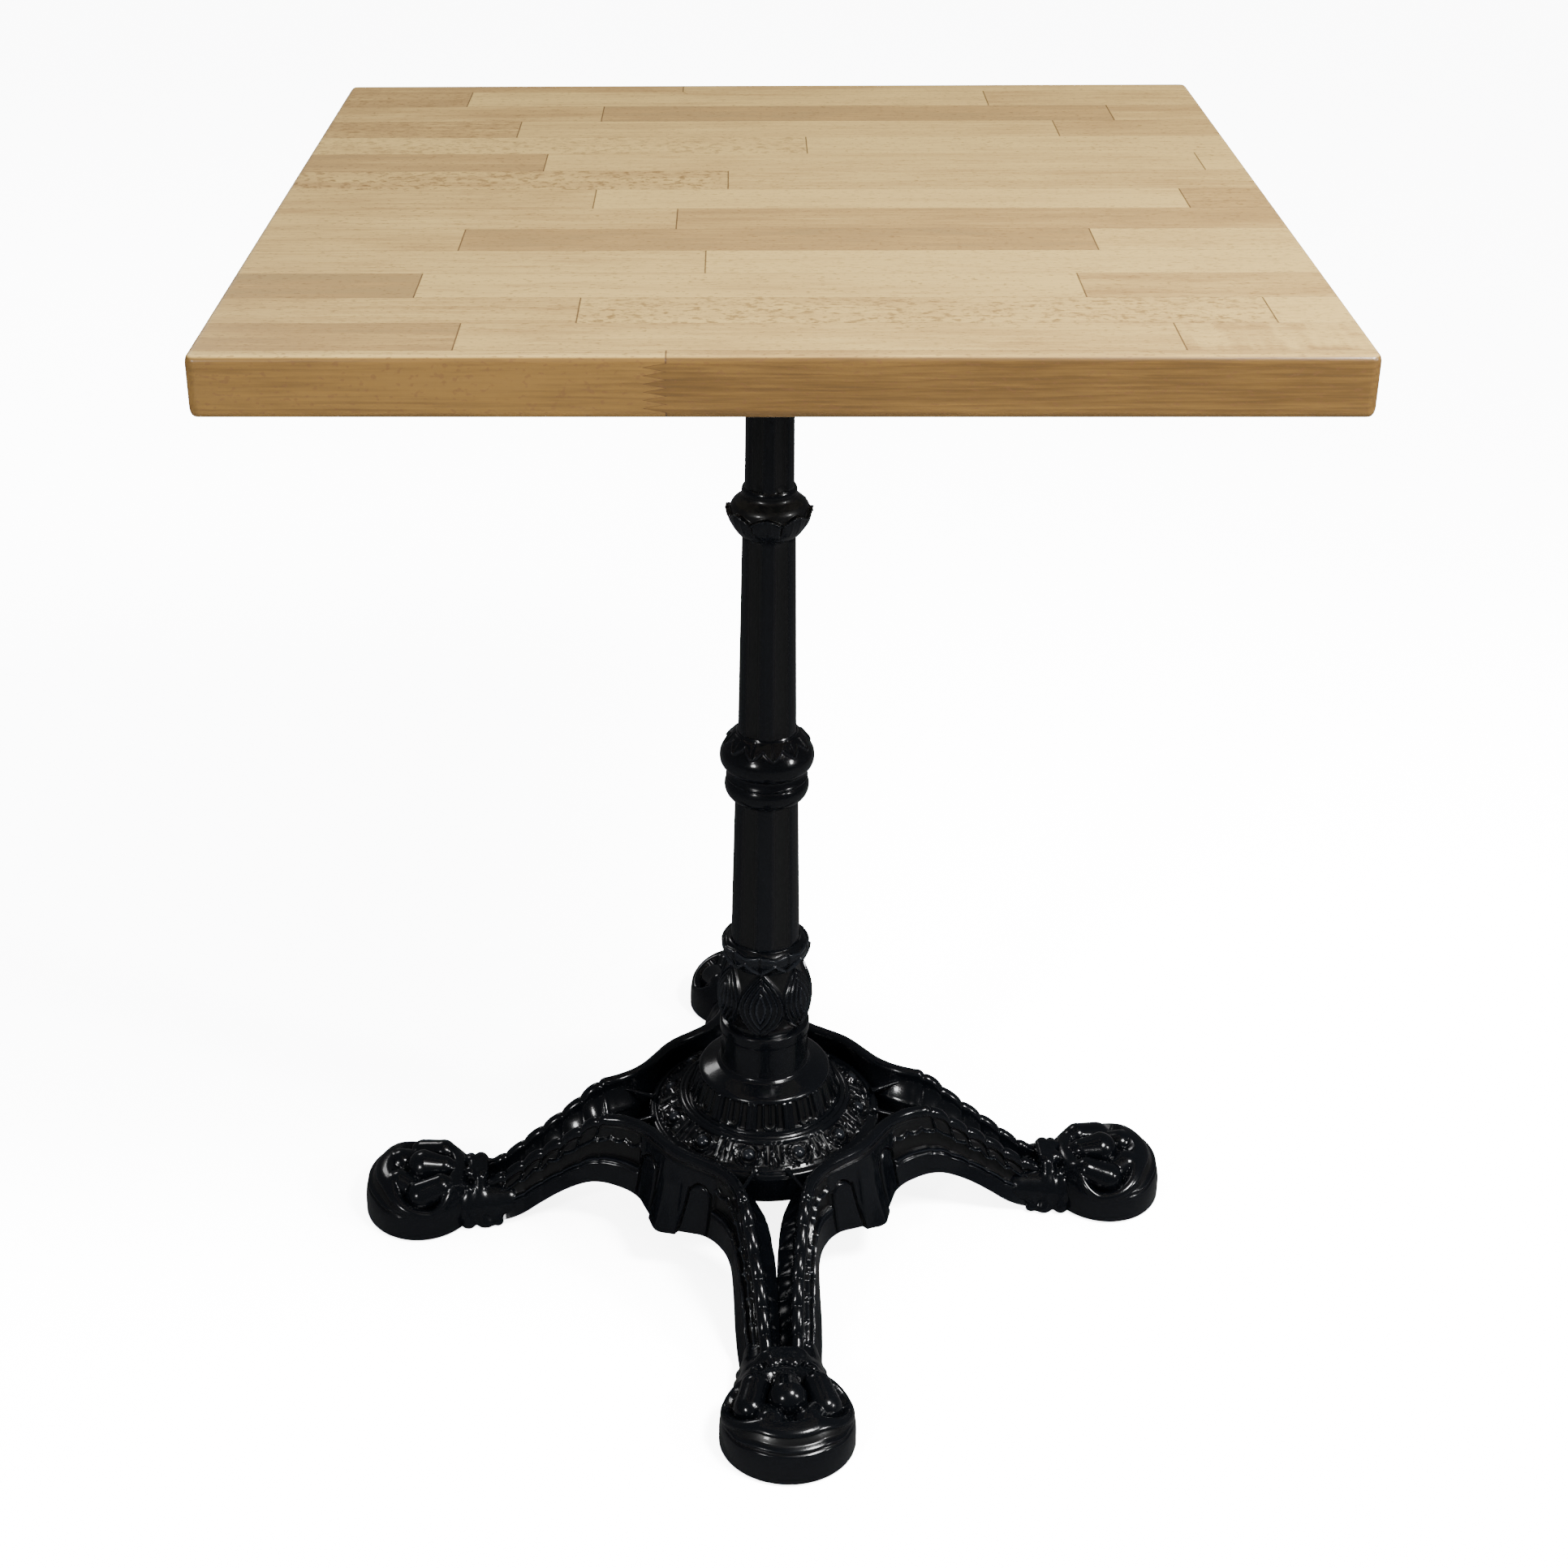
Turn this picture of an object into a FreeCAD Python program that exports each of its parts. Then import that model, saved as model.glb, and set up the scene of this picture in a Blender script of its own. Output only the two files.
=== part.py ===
import FreeCAD
import Part
import math
import os

# Bistro table: a square beech top of finger-jointed staves on an ornamental cast-iron pedestal.
# Frame: +Z up, origin on the floor under the column, top's sides along X and Y. Millimetres.

# ---- overall ----
table_height = 760.0
top_width = 600.0            # along X, the way the staves run
top_depth = 600.0            # along Y
top_thickness = 33.0
base_turn = 3.1              # degrees that the foot stands turned under the top
leg_reach = 250.0            # column axis to the centre of a paw
floor_gap = 2.0              # paws stay this far off the floor, on their glides

# ---- wooden top ----
stave_width = 43.7
front_strip_width = 10.0     # ripped stave along the front edge
corner_radius = 6.0          # upright corners of the top
arris_radius = 3.5           # eased edges, above and below
finger_length = 11.5
finger_shoulder = 3.5        # plain part above and below the fingers
finger_count = 6
# Where each row's glue joints lie, as shares of half the width, from the front strip to the back strip.
row_joints = [
    [-0.19],
    [-0.55, 0.68],
    [-0.35, 0.86],
    [-0.65, 0.55],
    [-0.13],
    [-0.60, 0.61],
    [-0.19],
    [-0.36, 0.83],
    [-0.09],
    [-0.48, 0.91],
    [0.08],
    [-0.56, 0.64],
    [-0.38, 0.78],
    [-0.70, 0.51],
    [-0.20],
]

# ---- iron cross under the top ----
cross_reach = 205.0
cross_plate = 6.0            # thickness of the arms
arm_root_width = 44.0
arm_end_width = 26.0
rib_width = 6.0
rib_reach = 172.0
hub_radius = 29.0
hub_height = 37.0
hub_socket_depth = 12.0
rod_thread_depth = 18.0
rod_thread_relief = 2.0      # room above the rod
screw_near = 88.0            # distance of the inner screws from the axis
screw_aside = 12.0           # their distance from the arm's centre line
screw_far = 190.0            # distance of the outer screw
screw_radius = 2.4
screw_length = 22.0          # length in the wood
screw_head_radius = 4.5
screw_head_height = 3.0
screw_head_top_radius = 2.5   # flat of the head, away from the iron
screw_head_bulge_radius = 4.0
screw_head_bulge = 0.45      # share of the head's height at which it bulges
screw_tip_radius = 0.4
screw_clearance = 0.35       # radial, in the iron

# ---- column casting ----
foot_collar_height = 10.0
foot_collar_radius = 32.0
bulb_height = 50.0
bulb_foot_radius = 28.0
bulb_radius = 32.5
bulb_neck_radius = 25.5
leaf_collar_height = 24.0
leaf_collar_radius = 30.0
lower_shaft_radius = 25.2
lower_shaft_top_radius = 23.0
lower_ring_height = 25.0
lower_ring_radius = 29.0
ring_waist_radius = 27.0
upper_ring_height = 35.0
upper_ring_radius = 32.0
upper_shaft_radius = 20.7
upper_shaft_top_radius = 18.5
leaf_ring_height = 32.0
leaf_ring_radius = 25.5
neck_shaft_radius = 17.0
neck_shaft_top_radius = 15.8
lower_shaft_share = 0.29     # of the height that is left for the three shafts
upper_shaft_share = 0.38
flute_count = 6
flute_depth = 1.9
ridge_half_angle = 11.0      # degrees, half of the flat ridge between two flutes
ridge_turn = -92.5           # degrees, the direction of one ridge
core_foot_radius = 18.0      # cored hollow of the column, at its foot and top
core_top_radius = 8.0
spigot_radius = 22.0
spigot_length = 11.0
seat_clearance = 0.3         # radial and end clearance where castings locate in each other

# ---- base casting ----
boss_height = 152.0          # height above the floor of the seat of the column
boss_radius = 31.5
dome_bevel_top = 125.5
dome_bevel_foot = 119.0
dome_bevel_radius = 46.5
dome_drum_foot = 97.0
dome_drum_radius = 54.5
dome_ring_foot = 95.0
dome_ring_radius = 61.5
dome_egg_foot = 85.0
dome_egg_radius = 77.0
dome_rim_height = 83.0
dome_rim_radius = 84.5
dome_skirt_foot = 60.0
dome_wall = 6.0
drum_wall = 7.5              # level thickness of the bevel and the drum
nut_pad_height = 100.0       # underside of the boss, where the washer bears
nut_pad_radius = 21.0
rod_clearance = 0.5          # radial
egg_count = 12
egg_radius = 4.2
drum_flute_count = 12
drum_flute_radius = 2.6
drum_flute_margin = 4.0      # plain part of the drum above and below a flute
drum_flute_offset = 0.4      # the flute's axis stands this far outside the drum

# Plan of half a leg rail, in millimetres along the leg and aside from its centre line.
# The rail starts at the paw and ends on the diagonal, where it meets the rail of the next leg.
rail_inner = [(203.0, 5.5), (170.0, 8.0), (128.0, 14.0), (104.0, 20.5), (88.0, 30.0), (75.0, 42.0)]
rail_crest = [(203.0, 14.5), (170.0, 17.0), (128.0, 23.0), (107.0, 30.0), (92.0, 42.0), (81.0, 55.0)]
rail_foot = [(203.0, 27.0), (170.0, 30.0), (132.0, 32.0), (112.0, 36.5), (98.0, 46.0), (89.0, 60.0)]
rail_inner_corner = 59.0     # where each line reaches the diagonal, along the leg
rail_crest_corner = 69.5
rail_foot_corner = 81.0
# Side view of the same rail: heights of its crest and of its underside along the leg.
crest_line = [(56.0, 95.0), (80.0, 94.5), (104.0, 93.5), (116.0, 93.0), (128.0, 87.0),
              (153.0, 66.0), (178.0, 46.5), (204.0, 32.0)]
under_line = [(56.0, 38.0), (84.0, 38.0), (100.0, 40.0), (118.0, 41.0), (138.0, 37.0),
              (160.0, 26.0), (180.0, 11.0), (204.0, 2.0)]
rail_loft_top = 96.0         # the crest outline lies at this height, above every crest
rail_side_reach = 100.0      # the side view is cut this far aside
spoke_radius = 2.2           # thin cast spokes from the dome's rim to the rails
spoke_height = 84.0
spoke_start_aside = 12.0
spoke_root = 3.0             # length of a spoke inside the dome's rim
spoke_end_along = 106.0
spoke_end_aside = 24.0

# ---- paws ----
paw_radius = 45.5
paw_height = 37.0            # of the shell, without the knuckles
paw_widest_height = 17.0
paw_sole_radius = 38.0
paw_top_radius = 26.0
paw_wall = 8.0
paw_hollow_taper = 6.0       # the hollow is this much narrower at its roof
paw_brow_drop = 3.0          # where the shell turns over, below its top
paw_roof_height = 25.0       # height of the hollow inside the paw
# Knuckles that bulge out of the shell: along the leg from the paw's centre, aside, height, radius.
knuckles = [(-6.0, 0.0, 38.0, 12.5), (-7.0, 22.0, 33.0, 11.5), (-7.0, -22.0, 33.0, 11.5),
            (14.0, 12.0, 32.0, 9.5), (14.0, -12.0, 32.0, 9.5)]
neck_along = 209.0           # roll across the leg behind the paw
neck_radius = 11.5
neck_height = 30.0
neck_width = 36.0
neck_block_width = 50.0

# ---- tie rod ----
rod_radius = 6.0
rod_tail = 6.0               # thread that stands out below the nut
washer_radius = 17.0
washer_thickness = 3.0
nut_height = 10.0
nut_across_flats = 19.0

# ---- levelling glides ----
glide_radius = 14.0
glide_height = 6.5
glide_flange_radius = 5.0
glide_flange_height = 2.4
glide_edge_radius = 1.2
glide_sole = 2.0             # plastic under the stud's flange
stud_radius = 4.0
stud_clearance = 0.05        # radial, in the thread and in the glide
stud_end_play = 0.2
collar_across_flats = 13.0
collar_height = 3.0
stud_reach = 20.0            # thread inside the paw with the glide fully up
boss_wall = 5.0
thread_relief = 4.0          # room above the stud

legs = {"front": -90.0, "right": 0.0, "back": 90.0, "left": 180.0}

# ---- heights and fits that follow ----
under_top = table_height - top_thickness
hub_foot = under_top - hub_height
column_top = hub_foot + hub_socket_depth
flange_foot = glide_sole + stud_end_play
collar_foot = glide_height + stud_end_play
glide_stop = collar_foot + collar_height + stud_end_play
overlap = 1.0                # cutters and joined pieces run past each other by this much
same_place = 0.01            # closer than this counts as touching
vector = FreeCAD.Vector
z_axis = vector(0, 0, 1)


def solid_of_revolution(points):
    """Turns a closed outline of (radius, height) points about the Z axis."""
    corners = [vector(r, 0, z) for r, z in points]
    wire = Part.makePolygon(corners + corners[:1])
    return Part.Face(wire).revolve(vector(0, 0, 0), z_axis, 360)


def bead(z_low, z_high, r_low, r_widest, r_high, widest_share=0.5):
    """A turned swelling whose side is one arc from r_low through r_widest to r_high."""
    z_widest = z_low + (z_high - z_low) * widest_share
    low = vector(r_low, 0, z_low)
    high = vector(r_high, 0, z_high)
    side = Part.Arc(low, vector(r_widest, 0, z_widest), high).toShape()
    lid = Part.makeLine(high, vector(0, 0, z_high))
    axis = Part.makeLine(vector(0, 0, z_high), vector(0, 0, z_low))
    floor = Part.makeLine(vector(0, 0, z_low), low)
    wire = Part.Wire([side, lid, axis, floor])
    return Part.Face(wire).revolve(vector(0, 0, 0), z_axis, 360)


def hexagon(across_flats, height, z):
    """A hexagonal prism on the Z axis."""
    radius = across_flats / math.sqrt(3)
    angles = [math.radians(60 * i) for i in range(7)]
    points = [vector(radius * math.cos(a), radius * math.sin(a), z) for a in angles]
    return Part.Face(Part.makePolygon(points)).extrude(vector(0, 0, height))


def cylinder(radius, z_low, z_high):
    """A cylinder on the Z axis between two heights."""
    return Part.makeCylinder(radius, z_high - z_low, vector(0, 0, z_low))


def turned(shape, degrees):
    """A copy of a shape, turned about the Z axis."""
    copy = shape.copy()
    copy.rotate(vector(0, 0, 0), z_axis, degrees)
    return copy


def moved(shape, x, y):
    """A copy of a shape, moved level."""
    copy = shape.copy()
    copy.translate(vector(x, y, 0))
    return copy


def fused(pieces):
    """One solid of several that touch."""
    return pieces[0].multiFuse(pieces[1:]).removeSplitter()


def save(name, solids):
    """Writes one named sub-part."""
    shape = solids[0] if len(solids) == 1 else Part.makeCompound(solids)
    shape.exportStep(os.path.join("parts", name + ".step"))
    print(name, len(solids), "solid(s)", round(shape.Volume / 1000, 1), "cm3")


# ---- wooden top ----

def top_envelope():
    """The outside of the whole top: a slab with rounded corners and eased edges."""
    slab = Part.makeBox(top_width, top_depth, top_thickness,
                        vector(-top_width / 2, -top_depth / 2, under_top))
    upright = [e for e in slab.Edges if e.BoundBox.ZLength > top_thickness / 2]
    slab = slab.makeFillet(corner_radius, upright)
    level = [e for e in slab.Edges if e.BoundBox.ZLength < same_place]
    return slab.makeFillet(arris_radius, level)


def finger_line(x):
    """Points of one glue joint, from the underside up: fingers between two plain shoulders."""
    pitch = (top_thickness - 2 * finger_shoulder) / finger_count
    points = [(x, under_top), (x, under_top + finger_shoulder)]
    for i in range(finger_count):
        root = under_top + finger_shoulder + i * pitch
        points.append((x - finger_length, root + pitch / 2))
        points.append((x, root + pitch))
    return points + [(x, table_height)]


def stave(x_left, x_right, y_front, y_back):
    """One length of beech. An end at the side of the top is square, the others are fingered."""
    half = top_width / 2
    left = finger_line(x_left) if x_left > -half else [(-half, under_top), (-half, table_height)]
    right = finger_line(x_right) if x_right < half else [(half, under_top), (half, table_height)]
    corners = [vector(x, y_front, z) for x, z in left + right[::-1]]
    face = Part.Face(Part.makePolygon(corners + corners[:1]))
    return face.extrude(vector(0, y_back - y_front, 0))


def row_edges():
    """The Y of every line between rows: a front strip, whole staves, and a back strip of the rest."""
    room = top_depth - front_strip_width
    whole = int(room / stave_width)
    front = -top_depth / 2
    edges = [front, front + front_strip_width]
    edges += [edges[1] + stave_width * (i + 1) for i in range(whole)]
    return edges + [top_depth / 2]


def make_top(screws):
    """Every row of staves, each stave its own solid, drilled for the screws from below."""
    envelope = top_envelope()
    edges = row_edges()
    for row in range(len(edges) - 1):
        shares = row_joints[row % len(row_joints)]
        ends = [-top_width / 2] + [s * top_width / 2 for s in shares] + [top_width / 2]
        staves = []
        for x_left, x_right in zip(ends[:-1], ends[1:]):
            piece = stave(x_left, x_right, edges[row], edges[row + 1]).common(envelope)
            near = [s for s in screws if s.BoundBox.intersect(piece.BoundBox)]
            if near:
                piece = piece.cut(near)
            staves.append(piece.Solids[0])
        save("stave_row_%02d" % (row + 1), staves)


# ---- iron cross ----

def screw_places():
    """Where the screws of one arm lie, along X and aside."""
    return [(screw_near, screw_aside), (screw_near, -screw_aside), (screw_far, 0.0)]


def cross_screw():
    """A pan-head wood screw on the Z axis, up into the top."""
    plate_foot = under_top - cross_plate
    shank_top = under_top + screw_length - screw_radius * 2
    shank = cylinder(screw_radius, plate_foot, shank_top)
    tip = Part.makeCone(screw_radius, screw_tip_radius, screw_radius * 2, vector(0, 0, shank_top))
    head = bead(plate_foot - screw_head_height, plate_foot, screw_head_top_radius,
                screw_head_bulge_radius, screw_head_radius, screw_head_bulge)
    return fused([shank, tip, head])


def cross_arm():
    """One arm along +X: a tapered plate with a round end and a rib under it."""
    plate_foot = under_top - cross_plate
    end_x = cross_reach - arm_end_width / 2
    corners = [(0, -arm_root_width / 2), (end_x, -arm_end_width / 2),
               (end_x, arm_end_width / 2), (0, arm_root_width / 2)]
    points = [vector(x, y, plate_foot) for x, y in corners]
    plate = Part.Face(Part.makePolygon(points + points[:1])).extrude(vector(0, 0, cross_plate))
    tip = moved(cylinder(arm_end_width / 2, plate_foot, under_top), end_x, 0)
    side = [(0, plate_foot), (rib_reach, plate_foot), (hub_radius, hub_foot), (0, hub_foot)]
    points = [vector(x, -rib_width / 2, z) for x, z in side]
    rib = Part.Face(Part.makePolygon(points + points[:1])).extrude(vector(0, rib_width, 0))
    arm = fused([plate, tip, rib])
    hole = cylinder(screw_radius + screw_clearance, plate_foot - overlap, under_top + overlap)
    return arm.cut([moved(hole, x, y) for x, y in screw_places()])


def make_cross(arm_angles):
    """The cross: a hub that caps the column and holds the tie rod, and an arm to each corner."""
    hub = cylinder(hub_radius, hub_foot, under_top)
    arms = [turned(cross_arm(), angle) for angle in arm_angles]
    socket = cylinder(neck_shaft_top_radius + seat_clearance, hub_foot, column_top)
    thread = cylinder(rod_radius, hub_foot, column_top + rod_thread_depth + rod_thread_relief)
    return fused([hub] + arms).cut([socket, thread])


# ---- column ----

def fluted_shaft(z_low, z_high, r_low, r_high):
    """A tapered shaft with shallow flutes between flat ridges. Each flute is cut by a leaning cone
    that meets the ridges' edges and is flute_depth deep at its middle."""
    shaft = Part.makeCone(r_low, r_high, z_high - z_low, vector(0, 0, z_low))
    half_flute = math.radians(180 / flute_count - ridge_half_angle)

    def cutter_radius(r, distance):
        return distance - (r - flute_depth)

    floor = r_low - flute_depth
    distance = (r_low ** 2 - floor ** 2) / (2 * (r_low * math.cos(half_flute) - floor))
    cutter = Part.makeCone(cutter_radius(r_low, distance), cutter_radius(r_high, distance),
                           z_high - z_low, vector(distance, 0, z_low))
    step = 360 / flute_count
    return shaft.cut([turned(cutter, ridge_turn + step * (i + 0.5)) for i in range(flute_count)])


def make_column():
    """The column, from its foot collar up to the hub of the cross, cored for the tie rod."""
    ornaments = (foot_collar_height + bulb_height + leaf_collar_height
                 + lower_ring_height + upper_ring_height + leaf_ring_height)
    room = hub_foot - boss_height - ornaments
    z_bulb = boss_height + foot_collar_height
    z_collar = z_bulb + bulb_height
    z_lower = z_collar + leaf_collar_height
    z_ring = z_lower + room * lower_shaft_share
    z_waist = z_ring + lower_ring_height
    z_upper = z_waist + upper_ring_height
    z_leaves = z_upper + room * upper_shaft_share
    z_neck = z_leaves + leaf_ring_height
    sections = [
        cylinder(spigot_radius, boss_height - spigot_length, boss_height),
        cylinder(foot_collar_radius, boss_height, z_bulb),
        bead(z_bulb, z_collar, bulb_foot_radius, bulb_radius, bulb_neck_radius, 0.4),
        bead(z_collar, z_lower, bulb_neck_radius, leaf_collar_radius, lower_shaft_radius),
        fluted_shaft(z_lower, z_ring, lower_shaft_radius, lower_shaft_top_radius),
        bead(z_ring, z_waist, lower_shaft_top_radius, lower_ring_radius, ring_waist_radius, 0.6),
        bead(z_waist, z_upper, ring_waist_radius, upper_ring_radius, upper_shaft_radius, 0.35),
        fluted_shaft(z_upper, z_leaves, upper_shaft_radius, upper_shaft_top_radius),
        bead(z_leaves, z_neck, upper_shaft_top_radius, leaf_ring_radius, neck_shaft_radius),
        fluted_shaft(z_neck, hub_foot, neck_shaft_radius, neck_shaft_top_radius),
        cylinder(neck_shaft_top_radius, hub_foot, column_top),
    ]
    foot = boss_height - spigot_length
    core = Part.makeCone(core_foot_radius, core_top_radius, column_top - foot, vector(0, 0, foot))
    return fused(sections).cut(core)


# ---- base ----

def make_dome():
    """The stepped dome in the middle of the base: a thin shell with a boss for the column."""
    bore = rod_radius + rod_clearance
    socket = spigot_radius + seat_clearance
    socket_floor = boss_height - spigot_length - seat_clearance
    outline = [
        (bore, nut_pad_height), (bore, socket_floor), (socket, socket_floor), (socket, boss_height),
        (boss_radius, boss_height), (boss_radius, dome_bevel_top),
        (dome_bevel_radius, dome_bevel_foot), (dome_drum_radius, dome_drum_foot),
        (dome_ring_radius, dome_ring_foot), (dome_egg_radius, dome_egg_foot),
        (dome_rim_radius, dome_rim_height), (dome_rim_radius, dome_skirt_foot),
        (dome_rim_radius - dome_wall, dome_skirt_foot),
        (dome_rim_radius - dome_wall, dome_egg_foot - dome_wall),
        (dome_ring_radius - dome_wall, dome_ring_foot - dome_wall),
        (dome_drum_radius - drum_wall, dome_drum_foot - dome_wall),
        (dome_bevel_radius - drum_wall, dome_bevel_foot - dome_wall),
        (nut_pad_radius, dome_bevel_foot - dome_wall), (nut_pad_radius, nut_pad_height),
    ]
    return solid_of_revolution(outline)


def dome_ornaments():
    """A ring of eggs on the dome's slope."""
    middle = (dome_ring_radius + dome_egg_radius) / 2
    height = (dome_ring_foot + dome_egg_foot) / 2
    egg = Part.makeSphere(egg_radius, vector(middle, 0, height))
    return [turned(egg, 360 / egg_count * i) for i in range(egg_count)]


def drum_flutes():
    """Round-ended cutters for the flutes round the dome's drum."""
    low = vector(dome_drum_radius + drum_flute_offset, 0, dome_drum_foot + drum_flute_margin)
    lean = vector(dome_bevel_radius - dome_drum_radius, 0, dome_bevel_foot - dome_drum_foot)
    cutter = Part.makeCylinder(drum_flute_radius, lean.Length - 2 * drum_flute_margin, low, lean)
    return [turned(cutter, 360 / drum_flute_count * (i + 0.5)) for i in range(drum_flute_count)]


def spline(points):
    """A smooth edge through points."""
    curve = Part.BSplineCurve()
    curve.interpolate(points)
    return curve.toShape()


def rail_outline(outer, outer_corner, z):
    """Closed plan outline of half a rail at one height."""
    inner = [vector(x, y, z) for x, y in rail_inner + [(rail_inner_corner, rail_inner_corner)]]
    outside = [vector(x, y, z) for x, y in outer + [(outer_corner, outer_corner)]]
    edges = [spline(inner), Part.makeLine(inner[-1], outside[-1]),
             spline(outside[::-1]), Part.makeLine(outside[0], inner[0])]
    return Part.Wire(edges)


def half_rail():
    """Half a rail of the leg along +X, on its +Y side, up to the diagonal. Its outer face leans out
    from the crest to the foot, and the side view cuts its crest and its arched underside."""
    top = rail_outline(rail_crest, rail_crest_corner, rail_loft_top)
    low = rail_outline(rail_foot, rail_foot_corner, 0.0)
    body = Part.makeLoft([low, top], True, True)
    crest = [vector(x, -overlap, z) for x, z in crest_line]
    under = [vector(x, -overlap, z) for x, z in under_line]
    edges = [spline(under), Part.makeLine(under[-1], crest[-1]),
             spline(crest[::-1]), Part.makeLine(crest[0], under[0])]
    side = Part.Face(Part.Wire(edges)).extrude(vector(0, rail_side_reach, 0))
    return body.common(side).Solids[0]


def spoke():
    """A thin spoke on the +Y side of the leg along +X."""
    start = vector(dome_rim_radius - spoke_root, spoke_start_aside, spoke_height)
    run = vector(spoke_end_along, spoke_end_aside, spoke_height) - start
    return Part.makeCylinder(spoke_radius, run.Length, start, run)


def paw():
    """The foot at the end of the leg along +X: a rounded shell, hollow below, with a threaded boss."""
    sole = vector(leg_reach + paw_sole_radius, 0, floor_gap)
    widest = vector(leg_reach + paw_radius, 0, paw_widest_height)
    brow = vector(leg_reach + (paw_radius + paw_top_radius) / 2, 0, paw_height - paw_brow_drop)
    rim = vector(leg_reach + paw_top_radius, 0, paw_height)
    top = vector(leg_reach, 0, paw_height)
    middle = vector(leg_reach, 0, floor_gap)
    outside = Part.Face(Part.Wire([spline([sole, widest, brow, rim]), Part.makeLine(rim, top),
                                   Part.makeLine(top, middle), Part.makeLine(middle, sole)]))
    outside = outside.revolve(vector(leg_reach, 0, 0), z_axis, 360)
    hollow = Part.makeCone(paw_sole_radius - paw_wall, paw_sole_radius - paw_wall - paw_hollow_taper,
                           paw_roof_height - floor_gap, vector(leg_reach, 0, floor_gap))
    boss = cylinder(stud_radius + boss_wall, glide_stop, paw_roof_height + overlap)
    return outside.cut(hollow).fuse(moved(boss, leg_reach, 0))


def paw_details():
    """The knuckles that bulge out of the paw along +X, and the roll and block of its neck."""
    balls = [Part.makeSphere(r, vector(leg_reach + x, y, z)) for x, y, z, r in knuckles]
    roll = Part.makeCylinder(neck_radius, neck_width, vector(neck_along, -neck_width / 2, neck_height),
                             vector(0, 1, 0))
    block = Part.makeBox(neck_radius * 2, neck_block_width, neck_height - floor_gap,
                         vector(neck_along - neck_radius, -neck_block_width / 2, floor_gap))
    return balls + [roll, block]


def stud_hole():
    """The threaded hole for a glide's stud, in the paw along +X."""
    top = glide_stop + stud_reach + thread_relief
    return moved(cylinder(stud_radius + stud_clearance, 0, top), leg_reach, 0)


def make_base():
    """The base casting: the dome, four legs of two rails each, and four paws."""
    rail = half_rail()
    mirrored = rail.mirror(vector(0, 0, 0), vector(0, 1, 0))
    link = spoke()
    mirrored_link = link.mirror(vector(0, 0, 0), vector(0, 1, 0))
    leg = [rail, mirrored, link, mirrored_link, paw()] + paw_details()
    pieces = [make_dome()] + dome_ornaments()
    for angle in legs.values():
        pieces += [turned(p, angle + base_turn) for p in leg]
    holes = [turned(stud_hole(), angle + base_turn) for angle in legs.values()]
    flutes = drum_flutes()
    return pieces[0].multiFuse(pieces[1:]).cut(holes + flutes)


# ---- fasteners and glides ----

def make_glide():
    """A plastic glide on the Z axis, with a pocket for the stud's flange and a lip over it."""
    body = cylinder(glide_radius, 0, glide_height)
    low = [e for e in body.Edges if e.BoundBox.ZMax < same_place and e.BoundBox.XLength > glide_radius]
    body = body.makeFillet(glide_edge_radius, low)
    pocket_top = flange_foot + glide_flange_height + stud_end_play
    pocket = cylinder(glide_flange_radius + stud_clearance, glide_sole, pocket_top)
    throat = cylinder(stud_radius + stud_clearance, glide_sole, glide_height + overlap)
    return body.cut([pocket, throat])


def make_stud():
    """A steel stud on the Z axis: flange in the glide, hexagon to turn it, thread in the paw."""
    flange = cylinder(glide_flange_radius, flange_foot, flange_foot + glide_flange_height)
    shank = cylinder(stud_radius, flange_foot, glide_stop + stud_reach)
    grip = hexagon(collar_across_flats, collar_height, collar_foot)
    return fused([shank, flange, grip])


def main():
    os.makedirs("parts", exist_ok=True)
    arm_angles = [45 + 90 * i for i in range(4)]
    screw = cross_screw()
    screws = [turned(moved(screw, x, y), a) for a in arm_angles for x, y in screw_places()]
    make_top(screws)
    save("top_cross", make_cross(arm_angles).Solids)
    save("cross_screws", screws)
    save("column", make_column().Solids)
    save("base_casting", make_base().Solids)

    washer_foot = nut_pad_height - washer_thickness
    nut_foot = washer_foot - nut_height
    rod = cylinder(rod_radius, nut_foot - rod_tail, column_top + rod_thread_depth)
    washer = cylinder(washer_radius, washer_foot, nut_pad_height)
    bore = cylinder(rod_radius + rod_clearance, washer_foot, nut_pad_height)
    save("tie_rod", [rod])
    save("tie_rod_washer", [washer.cut(bore)])
    nut = hexagon(nut_across_flats, nut_height, nut_foot)
    save("tie_rod_nut", [nut.cut(cylinder(rod_radius, nut_foot, washer_foot))])

    for name, angle in legs.items():
        save("glide_" + name, [turned(moved(make_glide(), leg_reach, 0), angle + base_turn)])
        save("stud_" + name, [turned(moved(make_stud(), leg_reach, 0), angle + base_turn)])


main()
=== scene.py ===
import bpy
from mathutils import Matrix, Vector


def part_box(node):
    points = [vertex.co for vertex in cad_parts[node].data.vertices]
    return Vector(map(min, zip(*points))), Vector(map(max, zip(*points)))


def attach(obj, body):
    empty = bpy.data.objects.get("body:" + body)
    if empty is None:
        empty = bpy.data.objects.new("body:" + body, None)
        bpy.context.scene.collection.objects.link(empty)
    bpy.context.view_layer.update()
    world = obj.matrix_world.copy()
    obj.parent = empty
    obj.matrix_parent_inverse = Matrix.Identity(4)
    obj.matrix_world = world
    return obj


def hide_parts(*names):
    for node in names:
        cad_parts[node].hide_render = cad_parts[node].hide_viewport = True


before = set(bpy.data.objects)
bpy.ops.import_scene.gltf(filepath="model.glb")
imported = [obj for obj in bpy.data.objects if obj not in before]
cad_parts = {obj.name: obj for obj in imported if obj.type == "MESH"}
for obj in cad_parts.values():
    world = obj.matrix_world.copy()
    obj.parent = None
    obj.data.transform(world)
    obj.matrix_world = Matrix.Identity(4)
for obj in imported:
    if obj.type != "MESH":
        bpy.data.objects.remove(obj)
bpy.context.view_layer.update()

import math
from functools import partial

import bpy
import numpy as np
from mathutils import Matrix, Vector

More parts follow.
